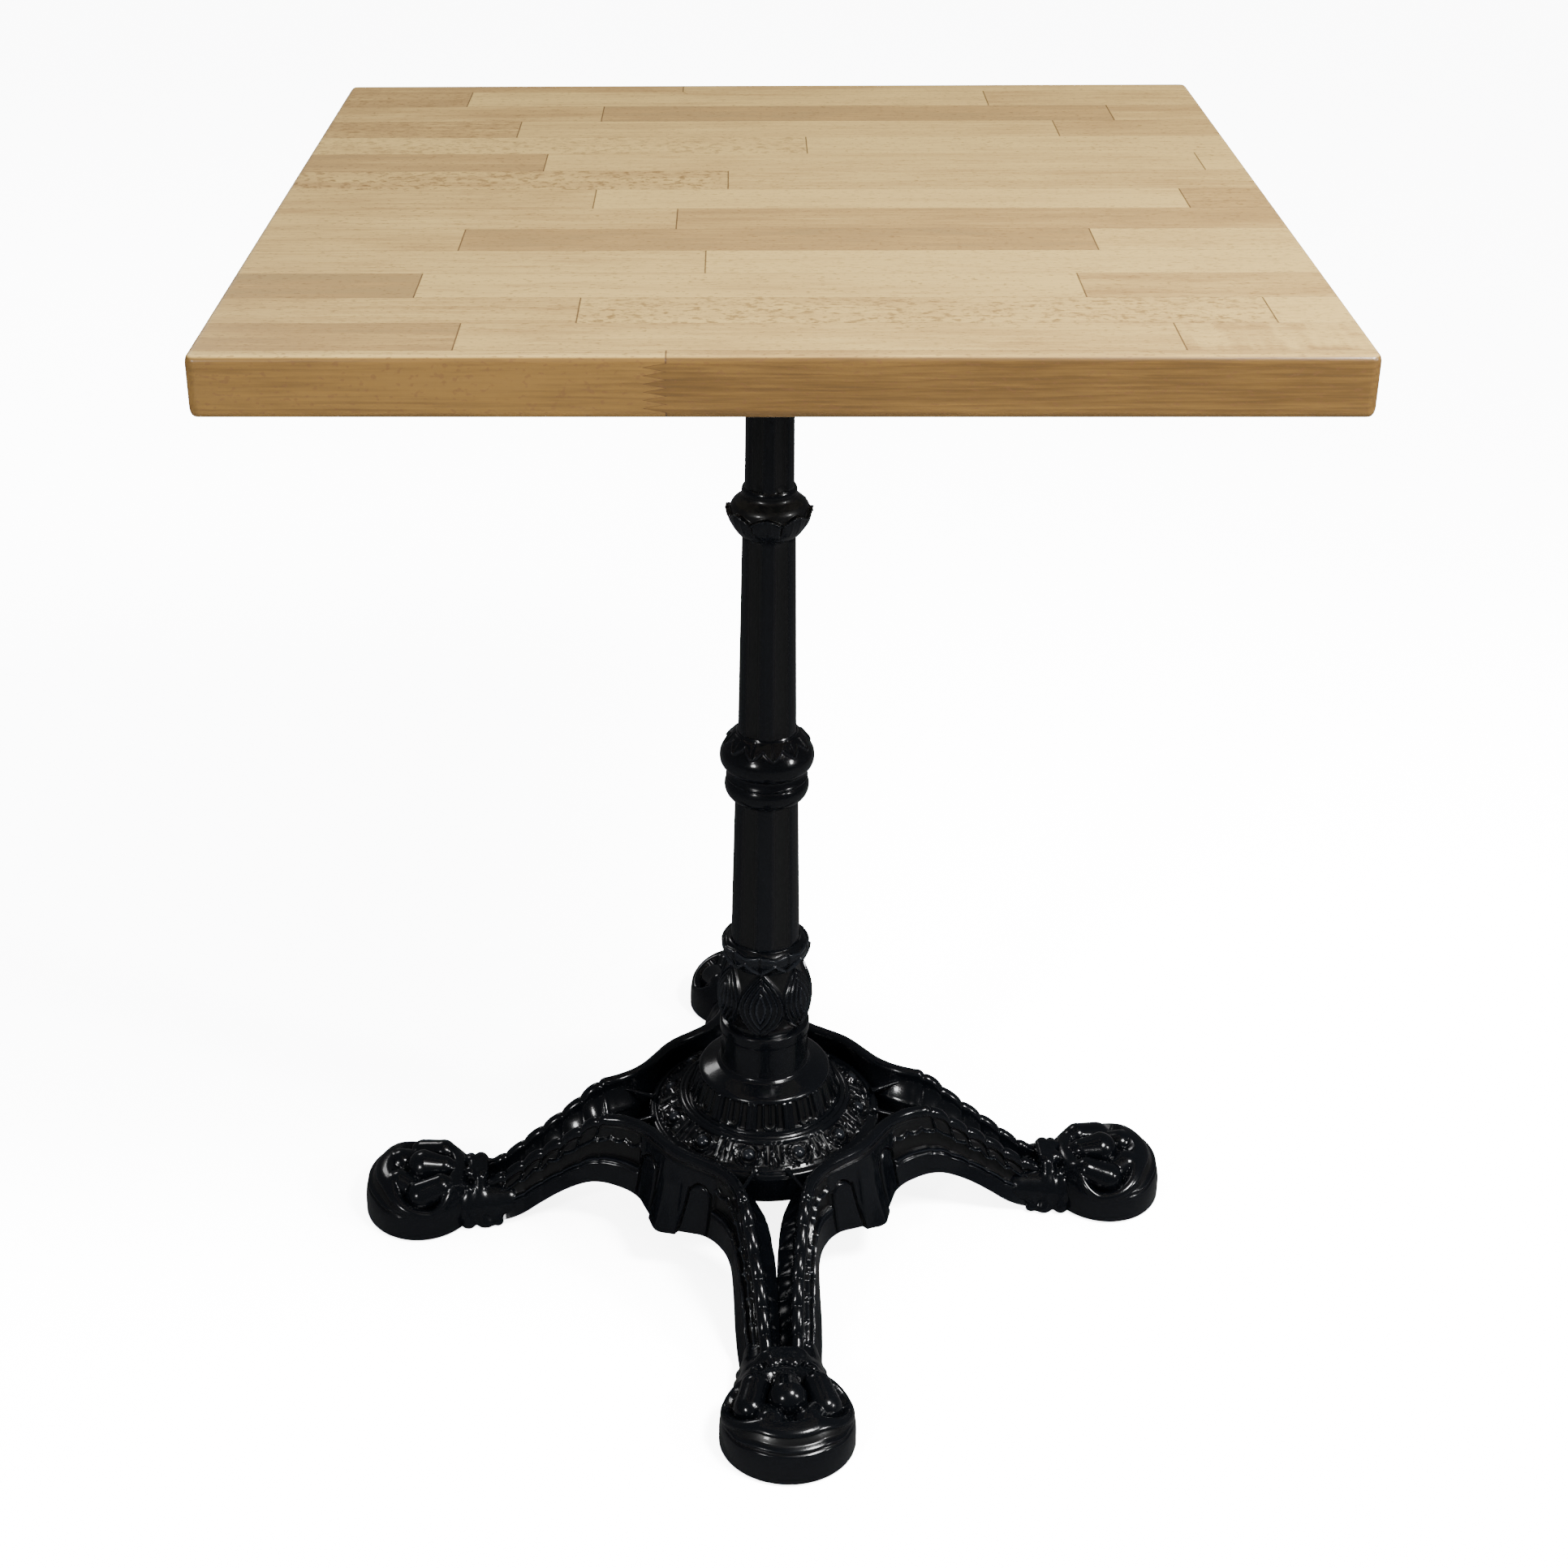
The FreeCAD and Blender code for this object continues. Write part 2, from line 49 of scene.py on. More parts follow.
# Bistro table: a varnished beech top on a cast-iron pedestal. Shapes are worked out in millimetres
# and turned to metres when they are put into a mesh.

legAngles = {"front": -90.0, "right": 0.0, "back": 90.0, "left": 180.0}
millimetre = 0.001


def nodeBox(name):
    # lowest and highest corner of a CAD node, in millimetres
    low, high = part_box(name)
    return np.array(low) / millimetre, np.array(high) / millimetre


footLow, footHigh = nodeBox("glide_right")
footMiddle = (footLow + footHigh) / 2
footTurn = math.atan2(footMiddle[1], footMiddle[0])   # how far the foot is turned under the top
legReach = math.hypot(footMiddle[0], footMiddle[1])
seatHeight = nodeBox("base_casting")[1][2]            # where the column stands on the base
print("frame loaded: leg reach", round(legReach, 1), "seat", round(seatHeight, 1))


def hexColour(code):
    # sRGB hex to linear light
    value = np.array([int(code[i:i + 2], 16) for i in (1, 3, 5)]) / 255
    linear = np.where(value <= 0.04045, value / 12.92, ((value + 0.055) / 1.055) ** 2.4)
    return (*linear.tolist(), 1.0)


def addNode(tree, kind, settings=None, inputs=None):
    # One shader node. Settings are its own options, or its operation alone; inputs go by name, or in
    # order, and are fixed values, sockets, or nodes whose first output in use is linked.
    node = tree.nodes.new("ShaderNode" + kind)
    if isinstance(settings, str):
        settings = {"operation": settings}
    for name, value in (settings or {}).items():
        setattr(node, name, value)
    for name, value in (dict(enumerate(inputs)) if isinstance(inputs, tuple) else inputs or {}).items():
        if isinstance(value, bpy.types.Node):
            value = next(output for output in value.outputs if output.enabled)
        if isinstance(value, bpy.types.NodeSocket):
            tree.links.new(value, node.inputs[name])
        else:
            node.inputs[name].default_value = value
    return node


def newMaterial(name, iorLevel=0.5, coat=0.0, coatRoughness=0.03):
    # an empty node material: the material, its shader, and what adds a node to it
    material = bpy.data.materials.new(name)
    material.use_nodes = True
    add = partial(addNode, material.node_tree)
    material.node_tree.nodes.clear()
    shader = add("BsdfPrincipled")
    add("OutputMaterial", None, {"Surface": shader})
    shader.inputs["Specular IOR Level"].default_value = iorLevel
    shader.inputs["Coat Weight"].default_value = coat
    shader.inputs["Coat Roughness"].default_value = coatRoughness
    return material, shader, add


def feedShader(shader, links):
    # links nodes to the shader's sockets, by name
    for name, node in links.items():
        output = next(output for output in node.outputs if output.enabled)
        shader.id_data.links.new(output, shader.inputs[name])


colourMix = {"data_type": "RGBA"}            # its factor is input 0 and its colours are 6 and 7
smoothRange = {"interpolation_type": "SMOOTHSTEP"}


def smoothStep(x, low, high):
    # 0 below low, 1 above high, an S between
    t = np.clip((x - low) / (high - low), 0, 1)
    return t * t * (3 - 2 * t)


def bead(distance, halfWidth):
    # a round bead across a line: the height of a half circle, from 0 at its edge to 1
    return np.sqrt(np.clip(1 - (distance / halfWidth) ** 2, 0, 1))


def hump(distance, halfWidth):
    # a soft hump: half a cosine wave, 0 outside its half width
    return 0.5 + 0.5 * np.cos(np.pi * np.clip(distance / halfWidth, -1, 1))


def foldAngle(angle, count, turn=0.0):
    # degrees from the middle of the nearest of count equal sectors
    step = 360.0 / count
    return (angle - turn + step / 2) % step - step / 2


def gridFaces(rows, columns, closed=False):
    # Quads between neighbouring points of a tube stored ring by ring. The first and last ring are
    # joined where closed, and are else filled with one flat face each.
    r, c = np.meshgrid(np.arange(rows - (not closed)), np.arange(columns), indexing="ij")
    nextRow, nextColumn = (r + 1) % rows, (c + 1) % columns
    quads = np.stack([r * columns + c, r * columns + nextColumn,
                      nextRow * columns + nextColumn, nextRow * columns + c], -1).reshape(-1, 4)
    ring = np.arange(columns)[None, :]
    return [quads] if closed else [quads, ring[:, ::-1], ring + (rows - 1) * columns]


def smoothCurve(keys, count):
    # count points on a Catmull-Rom curve through the rows of keys, evenly spaced by key number
    keys = np.asarray(keys, float)
    padded = np.vstack([2 * keys[0] - keys[1], keys, 2 * keys[-1] - keys[-2]])
    t = np.linspace(0, len(keys) - 1, count)
    i = np.minimum(t.astype(int), len(keys) - 2)
    f = (t - i)[:, None]
    a, b, c, d = padded[i], padded[i + 1], padded[i + 2], padded[i + 3]
    return 0.5 * (2 * b + (c - a) * f + (2 * a - 5 * b + 4 * c - d) * f ** 2
                  + (3 * b - a - 3 * c + d) * f ** 3)


def evenLine(points, spacing):
    # a polyline resampled so that no step is longer than spacing, its corners kept
    points = np.asarray(points, float)
    parts = [points[:1]]
    for a, b in zip(points[:-1], points[1:]):
        steps = max(1, int(np.ceil(np.linalg.norm(b - a) / spacing)))
        parts.append(a + (b - a) * np.arange(1, steps + 1)[:, None] / steps)
    return np.vstack(parts)


def turnAbout(points, angle):
    # points turned about the Z axis by an angle in radians
    c, s = math.cos(angle), math.sin(angle)
    return points @ np.array([[c, s, 0], [-s, c, 0], [0, 0, 1]])


def outward(points, faceSets):
    # the faces with their corners in the order that makes the closed shell's volume positive
    volume = 0.0
    middle = points.mean(0)
    for faces in faceSets:
        p = points[faces] - middle
        for k in range(1, faces.shape[1] - 1):
            volume += np.einsum("ij,ij->i", p[:, 0], np.cross(p[:, k], p[:, k + 1])).sum()
    return faceSets if volume > 0 else [faces[:, ::-1] for faces in faceSets]


def onEachLeg(pieces, sharp):
    # iron pieces made once per leg, from their shells turned to it
    for leg, angle in legAngles.items():
        turn = math.radians(angle) + footTurn
        for name, shells in pieces.items():
            turned = [(turnAbout(points, turn), faces, values) for points, faces, values in shells]
            makePiece(name + leg.capitalize(), turned, glossEnamel, sharp=sharp)


def makePiece(name, shells, material, replaced=(), sharp=40.0):
    # one object from closed shells: (points in mm, list of face arrays, {attribute: values})
    points, faceSets, attributes, offset = [], [], {}, 0
    for shellPoints, shellFaces, shellAttributes in shells:
        faceSets += [faces + offset for faces in outward(shellPoints, shellFaces)]
        points.append(shellPoints)
        offset += len(shellPoints)
        for key, values in shellAttributes.items():
            attributes.setdefault(key, []).append(values)
    points = np.vstack(points)
    corners = np.concatenate([faces.ravel() for faces in faceSets])
    sizes = np.concatenate([np.full(len(faces), faces.shape[1]) for faces in faceSets])
    mesh = bpy.data.meshes.new(name)
    mesh.vertices.add(len(points))
    mesh.vertices.foreach_set("co", (points * millimetre).ravel())
    mesh.loops.add(len(corners))
    mesh.loops.foreach_set("vertex_index", corners.astype(np.int32))
    mesh.polygons.add(len(sizes))
    mesh.polygons.foreach_set("loop_start", (np.cumsum(sizes) - sizes).astype(np.int32))
    mesh.update(calc_edges=True)
    mesh.validate()
    for key, values in attributes.items():
        values = np.concatenate(values).astype(np.float32)
        kind = "FLOAT" if values.ndim == 1 else "FLOAT_VECTOR"
        attribute = mesh.attributes.new(key, kind, "POINT")
        attribute.data.foreach_set("value" if values.ndim == 1 else "vector", values.ravel())
    mesh.shade_smooth()
    mesh.set_sharp_from_angle(angle=math.radians(sharp))
    mesh.materials.append(material)
    piece = bpy.data.objects.new(name, mesh)
    bpy.context.scene.collection.objects.link(piece)
    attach(piece, "table")
    if replaced:
        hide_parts(*replaced)


def turnedShell(profile, columns, relief=None, closed=False):
    # A profile of (radius, height) points carried round an upright axis. relief(angle in degrees,
    # height, distance along the profile) is added along the profile's outward normal.
    profile = np.asarray(profile, float)
    rows = len(profile)
    tangent = (np.roll(profile, -1, 0) - np.roll(profile, 1, 0) if closed
               else np.gradient(profile, axis=0))
    tangent /= np.linalg.norm(tangent, axis=1)[:, None] + 1e-9
    steps = np.linalg.norm(np.diff(profile, axis=0), axis=1)
    along = np.concatenate([[0], np.cumsum(steps)])[:, None]
    angle = np.arange(columns)[None, :] * 360.0 / columns
    radius, height = profile[:, :1], profile[:, 1:]
    extra = np.zeros((rows, columns)) if relief is None else relief(angle, height, along) + 0 * angle
    radius = radius + extra * tangent[:, 1:]
    height = height - extra * tangent[:, :1] + 0 * angle
    points = np.stack([radius * np.cos(np.radians(angle)), radius * np.sin(np.radians(angle)), height], -1)
    return points.reshape(-1, 3), gridFaces(rows, columns, closed), {"relief": extra.ravel()}


# Steamed beech in glued staves under a satin varnish: a pale golden-brown ground, faint growth
# rings, countless short dark ray flecks along the grain, broader silky flecks where a stave was
# cut towards the heart, and a soft shine on top. The underside is painted a dark grey, a painted shade under the
# top; that it is unvarnished there is a guess.
beech = {
    "light": "#EBC779", "dark": "#BA945A", "greyed": "#A8905F", "fleck": "#74502C",
    # the two edge colours are partly painted shade for the side faces of the front and back strips
    "shadedUnderside": "#6F675B", "seam": "#4E3218", "edgeLightShaded": "#8A6833", "edgeDarkShaded": "#604622",
    "roughness": 0.36, "lowest": nodeBox("stave_row_01")[0][2], "highest": nodeBox("stave_row_01")[1][2],
    "ringSpacing": 3.4,      # mm between growth rings
    # mm along the grain, round the heart and away from it, then detail and roughness of the noise;
    # the fibres and rays are drawn coarser than real so that they show
    "patterns": {
        "fibres": ((34.0, 0.8, 1.6), 3.0, 0.6),
        "streak": ((260.0, 7.0, 9.0), 3.0, 0.6),
        "cloud": ((70.0, 18.0, 18.0), 2.0, 0.5),
        "rays": ((3.8, 0.75, 7.0), 1.0, 0.5),
        "silk": ((5.7, 1.6, 7.0), 2.0, 0.65),
    },
    "wander": (160.0, 26.0, 26.0), "waves": (9.0, 60.0, 60.0),      # mm of the slow bends of the grain
}


def beechMaterial(name, light, dark, streaks, edge=False):
    # an edge takes the colours of the top on its upper face; its side faces keep the darker edge colours, partly
    # a painted shade for faces the light reaches less
    material, shader, add = newMaterial(name, coat=0.3, coatRoughness=0.12)
    place = add("TexCoord").outputs["Object"]
    inMillimetres = add("VectorMath", "SCALE", {"Vector": place, "Scale": 1 / millimetre})
    level = add("SeparateXYZ", None, (inMillimetres,)).outputs["Z"]
    heart, look = (add("Attribute", {"attribute_name": key}).outputs["Vector"] for key in ("heart", "look"))
    seam = add("Attribute", {"attribute_name": "seam"}).outputs["Fac"]
    tone, figure, curl = add("SeparateXYZ", None, (look,)).outputs
    fromHeart = add("VectorMath", "SUBTRACT", (inMillimetres, heart))
    along, across, upward = add("SeparateXYZ", None, (fromHeart,)).outputs

    # distance from the heart of the tree and the arc round it, so that all faces agree
    squares = add("Math", "MULTIPLY_ADD", (across, across, add("Math", "MULTIPLY", (upward, upward))))
    radial = add("Math", "SQRT", (squares,))
    arc = add("Math", "MULTIPLY", (add("Math", "ARCTAN2", (upward, across)), 60.0))
    wander, waves = (add("TexNoise", None, {
        "Vector": add("VectorMath", "DIVIDE", (fromHeart, beech[key])), "Scale": 1.0, "Detail": detail,
        "Roughness": 0.5}) for key, detail in (("wander", 3.0), ("waves", 1.0)))
    arc = add("Math", "MULTIPLY_ADD", (waves, add("Math", "MULTIPLY", (curl, 9.0)), arc))
    grain = add("CombineXYZ", None, (along, arc, radial))
    fibres, streak, cloud, rays, silk = (add("TexNoise", None, {
        "Vector": add("VectorMath", "DIVIDE", (grain, size)), "Scale": 1.0, "Detail": detail,
        "Roughness": roughness}) for size, detail, roughness in beech["patterns"].values())
    ringPhase = add("Math", "DIVIDE", (radial, beech["ringSpacing"]))
    ringPhase = add("Math", "MULTIPLY_ADD", (wander, 3.2, ringPhase))
    ring = add("Math", "POWER", (add("Math", "FRACT", (ringPhase,)), 3.0))
    rayMask = add("MapRange", smoothRange, (rays, 0.6, 0.7))
    silkMask = add("Math", "MULTIPLY", (add("MapRange", smoothRange, (silk, 0.5, 0.66)), figure))
    curlMask = add("MapRange", smoothRange, (waves, 0.4, 0.62))

    # how dark the wood is: the stave's tone, and each pattern about its mean with its own weight
    weights = ((streak, streaks, 0.5), (cloud, 0.55, 0.5), (ring, 0.16, 0.0), (fibres, 0.95, 0.5),
               (curlMask, add("Math", "MULTIPLY", (curl, 0.35)), 0.0))
    shade = add("Math", "ADD", (tone, -sum(weight * mean for _, weight, mean in weights if mean)))
    for pattern, weight, _ in weights:
        shade = add("Math", "MULTIPLY_ADD", (pattern, weight, shade))
    lightColour, darkColour = hexColour(light), hexColour(dark)
    # side faces below the top face keep the darker edge colours: partly painted shade
    if edge:
        onTop = add("MapRange", smoothRange, (level, beech["highest"] - 1.4, beech["highest"] - 0.2))
        lightColour, darkColour = (
            add("Mix", colourMix, {0: onTop, 6: side, 7: hexColour(beech[key])})
            for side, key in ((lightColour, "light"), (darkColour, "dark")))
    ground = add("Mix", colourMix, {0: add("MapRange", smoothRange, (shade, 0.0, 1.0)),
                                    6: lightColour, 7: darkColour})
    darkest = add("MapRange", smoothRange, (shade, 0.7, 1.25))
    # the underside takes a dark grey colour: painted shade under the top
    below = add("MapRange", smoothRange, (level, beech["lowest"] + 1.0, beech["lowest"] + 0.3))
    for mask, strength, key in ((darkest, 0.12 if edge else 0.5, "greyed"), (rayMask, 0.46, "fleck"),
                                (silkMask, 0.6, "fleck"), (below, 1.0, "shadedUnderside"), (seam, 1.0, "seam")):
        share = add("Math", "MULTIPLY", (mask, strength))
        ground = add("Mix", colourMix, {0: share, 6: ground, 7: hexColour(beech[key])})

    gloss = beech["roughness"] - 0.11
    for mask, strength in ((fibres, 0.22), (rayMask, 0.06), (seam, 0.4)):
        gloss = add("Math", "MULTIPLY_ADD", (mask, strength, gloss))
    height = add("Math", "MULTIPLY_ADD", (rayMask, -0.5, add("Math", "MULTIPLY", (fibres, 0.6))))
    bump = add("Bump", None, {"Height": height, "Strength": 0.14, "Distance": 0.0002})
    feedShader(shader, {"Base Color": ground, "Roughness": gloss, "Normal": bump})
    return material


varnishedBeech = beechMaterial("varnishedBeech", beech["light"], beech["dark"], 0.9)
# the ripped strips show their side grain upright, which the varnish has made more golden; their side colours are
# also darker than the top's, a painted shade on the front and back faces
varnishedBeechShadedEdge = beechMaterial("varnishedBeechShadedEdge", beech["edgeLightShaded"], beech["edgeDarkShaded"], 0.8, True)

# The top. Per row, front to back: one tuple per stave, left to right, of darkness from 0 to 1, strength of
# the silky flecks, and strength of the curl.
top = {
    "arris": 3.5, "corner": 6.0, "jointBevel": 0.1, "seamWidth": 0.55,
    "endSeam": 0.9, "sideSeam": 0.42,
    "fingerLength": 11.5, "fingerShoulder": 3.5, "fingers": 6, "seed": 11,
    "staves": [
        [(0.26, 0.0, 0.0), (0.55, 0.0, 0.0)],
        [(0.78, 0.1, 0.0), (0.40, 0.1, 0.0), (0.30, 0.2, 0.9)],
        [(0.46, 0.2, 0.0), (0.30, 0.9, 0.1), (0.02, 0.2, 0.0)],
        [(0.98, 0.0, 0.0), (0.22, 0.0, 0.0), (0.60, 0.2, 0.0)],
        [(0.34, 0.1, 0.0), (0.02, 0.2, 0.0)],
        [(0.46, 0.0, 0.0), (0.86, 0.0, 0.0), (0.20, 0.3, 0.0)],
        [(0.44, 0.0, 0.0), (0.70, 0.0, 0.0)],
        [(0.42, 0.0, 0.0), (0.10, 0.1, 0.0), (0.74, 0.3, 0.0)],
        [(0.44, 1.0, 0.2), (0.42, 0.1, 0.0)],
        [(0.80, 0.0, 0.0), (0.30, 0.0, 0.0), (0.20, 0.1, 0.0)],
        [(0.22, 0.7, 0.0), (0.20, 0.1, 0.0)],
        [(0.64, 0.7, 0.3), (0.34, 0.1, 0.0), (0.60, 0.0, 0.0)],
        [(0.60, 0.0, 0.0), (0.92, 0.0, 0.0), (0.56, 0.0, 0.0)],
        [(0.74, 0.5, 0.0), (0.30, 0.1, 0.0), (0.46, 0.0, 0.0)],
        [(0.66, 0.2, 0.0), (0.40, 0.0, 0.0)],
    ],
}
rowNames = sorted(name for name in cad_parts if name.startswith("stave_row"))
topLow = np.min([nodeBox(name)[0] for name in rowNames], axis=0)
topHigh = np.max([nodeBox(name)[1] for name in rowNames], axis=0)


def jointPlaces(name):
    # where the glue joints of a row meet the top face, read from the CAD node's corners
    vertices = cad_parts[name].data.vertices
    place = np.empty(len(vertices) * 3, np.float32)
    vertices.foreach_get("co", place)
    place = place.reshape(-1, 3) / millimetre
    onTop = place[place[:, 2] > topHigh[2] - 0.01]
    inner = onTop[np.abs(onTop[:, 0]) < topHigh[0] - 4 * top["fingerLength"] / 2]
    return sorted(set(np.round(inner[:, 0], 1).tolist()))


def staveShell(xLeft, xRight, yFront, yBack, look, heart):
    # A section across the stave carried along X. The section runs up the front side and down the
    # back side through the same heights, so an end closes as a ladder between the sides. At a free
    # end the section shrinks by the quarter circle of the eased edge; at a glue joint it slides
    # along X by the zigzag of the fingers.
    arris, cornerRadius, bevel = top["arris"], top["corner"], top["jointBevel"]
    low, high = topLow[2], topHigh[2]
    quarter = np.linspace(0, np.pi / 2, 8)
    rise = arris * (1 - np.cos(quarter))
    zigzag = np.linspace(low + top["fingerShoulder"], high - top["fingerShoulder"], top["fingers"] * 2 + 1)
    levels = np.concatenate([[low], low + rise[:-1], zigzag, (high - rise[:-1])[::-1], [high]])
    flat = np.zeros(len(levels))
    flat[[0, -1]] = top["seamWidth"]                     # a line on the flat faces, just inside the edge
    fingers = np.zeros(len(levels))
    fingers[len(rise) + 1:len(rise) + len(zigzag) - 1:2] = -top["fingerLength"]
    edge = np.minimum(levels - low, high - levels)
    eased = arris - np.sqrt(np.clip(arris ** 2 - np.clip(arris - edge, 0, arris) ** 2, 0, None)) + flat
    joined = np.clip(bevel - edge, 0, None) + flat
    frontFree, backFree = yFront < topLow[1] + 0.1, yBack > topHigh[1] - 0.1
    frontInset, backInset = (eased if frontFree else joined), (eased if backFree else joined)

    fromEnd = cornerRadius * (1 - np.cos(np.linspace(0, np.pi / 2, 12)))
    shrinkEnd = arris - np.sqrt(arris ** 2 - np.clip(arris - fromEnd, 0, arris) ** 2)
    cornerEnd = cornerRadius - np.sqrt(cornerRadius ** 2 - (cornerRadius - fromEnd) ** 2)
    leftFree, rightFree = xLeft < topLow[0] + 0.1, xRight > topHigh[0] - 0.1
    reach = top["fingerLength"] + 4
    # stations: X, share of the zigzag, shrink of the height, inset of a free side, seam
    left = (np.stack([xLeft + fromEnd, 0 * fromEnd, shrinkEnd, cornerEnd, 0 * fromEnd], 1) if leftFree
            else np.array([[xLeft, 1, bevel, 0, 1], [xLeft + bevel, 1, 0, 0, 1],
                           [xLeft + bevel + top["seamWidth"], 1, 0, 0, 0], [xLeft + 4, 0, 0, 0, 0]]))
    right = (np.stack([xRight - fromEnd, 0 * fromEnd, shrinkEnd, cornerEnd, 0 * fromEnd], 1)[::-1]
             if rightFree else
             np.array([[xRight - reach, 0, 0, 0, 0], [xRight - bevel - top["seamWidth"], 1, 0, 0, 0],
                       [xRight - bevel, 1, 0, 0, 1], [xRight, 1, bevel, 0, 1]]))
    inner = np.linspace(left[-1, 0], right[0, 0], 14)[1:-1]
    middle = np.stack([inner] + [0 * inner] * 4, 1)
    stations = np.vstack([left, middle, right])
    x, zigShare, shrink, corner, seamEnd = (stations[:, i:i + 1] for i in range(5))

    centre = (low + high) / 2
    z = centre + (levels - centre) * (1 - 2 * shrink / (high - low))
    xs = x + zigShare * fingers
    front = yFront + frontInset + corner * frontFree
    back = yBack - backInset - corner * backFree
    points = np.stack([np.concatenate([xs, xs[:, ::-1]], 1),
                       np.concatenate([front + 0 * xs, (back + 0 * xs)[:, ::-1]], 1),
                       np.concatenate([z, z[:, ::-1]], 1)], -1)
    loop = 2 * len(levels)
    onEdge = ((edge < 0.01) & (flat == 0)).astype(float)
    seamFront = onEdge * (not frontFree) * top["sideSeam"]
    seamBack = onEdge * (not backFree) * top["sideSeam"]
    seamLoop = np.concatenate([seamFront, seamBack[::-1]])[None, :]
    seam = np.maximum(seamLoop + 0 * x, seamEnd * top["endSeam"])
    ladder = np.arange(len(levels) - 1)
    cap = np.stack([ladder, ladder + 1, loop - 2 - ladder, loop - 1 - ladder], 1)
    faces = [gridFaces(len(stations), loop)[0], cap[:, ::-1], cap + (len(stations) - 1) * loop]
    count = points.shape[0] * loop
    return points.reshape(-1, 3), faces, {
        "seam": seam.ravel(), "look": np.tile(look, (count, 1)), "heart": np.tile(heart, (count, 1))}


draws = np.random.default_rng(top["seed"])
for rowNumber, name in enumerate(rowNames):
    low, high = nodeBox(name)
    ends = [topLow[0]] + jointPlaces(name) + [topHigh[0]]
    looks = top["staves"][rowNumber % len(top["staves"])]
    shells = []
    for i in range(len(ends) - 1):
        look = looks[i % len(looks)]
        # the heart lies beside a stave with silky flecks and below the others
        side = math.radians(draws.uniform(5, 25) if look[1] > 0.4 else draws.uniform(50, 130))
        reach = draws.uniform(50, 110)
        heart = (draws.uniform(-900, 900), (low[1] + high[1]) / 2 + reach * math.cos(side),
                 topLow[2] - reach * math.sin(side))
        shells.append(staveShell(ends[i], ends[i + 1], low[1], high[1], look, heart))
    strip = rowNumber in (0, len(rowNames) - 1)
    makePiece("staveRow%02d" % (rowNumber + 1), shells, varnishedBeechShadedEdge if strip else varnishedBeech,
              [name], sharp=24.0)
print("top:", len(rowNames), "rows of staves")

# Thick gloss black enamel over sand-cast iron: nearly black with a cold cast, small bright glints
# on every bead, the fine pebbled skin of the sand mould under it, and duller paint in the hollows.
# What stands proud is painted a lighter grey: partly a slightly rubbed wear, partly a painted highlight that
# makes the beads show.
enamel = {
    "black": "#040508", "worn": "#0B0E12", "dust": "#12110F", "rubbedAndHighlight": "#1D2025",
    "grain": 1.3,            # mm between the bumps of the sand skin, drawn coarser than real
    "wave": 9.0,             # mm between the slow waves of the thick paint
    "patch": 45.0,           # mm across a patch of thinner, duller paint
    "roughness": 0.17,
}


def enamelMaterial(name, roughness, grainStrength):
    material, shader, add = newMaterial(name, 0.4, 0.25, 0.06)
    place = add("TexCoord").outputs["Object"]
    grain, wave, patch = (add("TexNoise", None, {
        "Vector": place, "Scale": 1000.0 / enamel[key], "Detail": detail, "Roughness": uneven})
        for key, detail, uneven in (("grain", 3.0, 0.55), ("wave", 1.0, 0.5), ("patch", 4.0, 0.6)))
    relief = add("Attribute", {"attribute_name": "relief"}).outputs["Fac"]
    hollow = add("MapRange", None, (relief, -0.2, -1.4, 0.0, 0.5))
    # what stands proud is painted lighter: partly rubbed wear, partly a painted highlight on the beads
    proudWearAndHighlight = add("MapRange", None, (relief, 0.8, 1.9, 0.0, 0.8))
    colour = hexColour(enamel["black"])
    for mask, key in ((patch, "worn"), (hollow, "dust"), (proudWearAndHighlight, "rubbedAndHighlight")):
        colour = add("Mix", colourMix, {0: mask, 6: colour, 7: hexColour(enamel[key])})
    dull = add("Math", "MULTIPLY_ADD", (patch, 0.16, roughness - 0.08))
    dull = add("Math", "MULTIPLY_ADD", (hollow, 0.3, dull))
    slow = add("Bump", None, {"Height": wave, "Strength": 0.25, "Distance": 0.0006})
    fine = add("Bump", None, {"Height": grain, "Strength": grainStrength, "Distance": 0.00022,
                              "Normal": slow})
    feedShader(shader, {"Base Color": colour, "Roughness": dull, "Normal": fine})
    return material


glossEnamel = enamelMaterial("glossBlackEnamel", enamel["roughness"], 0.22)
mouldEnamel = enamelMaterial("pebbledBlackEnamel", enamel["roughness"] + 0.14, 0.8)

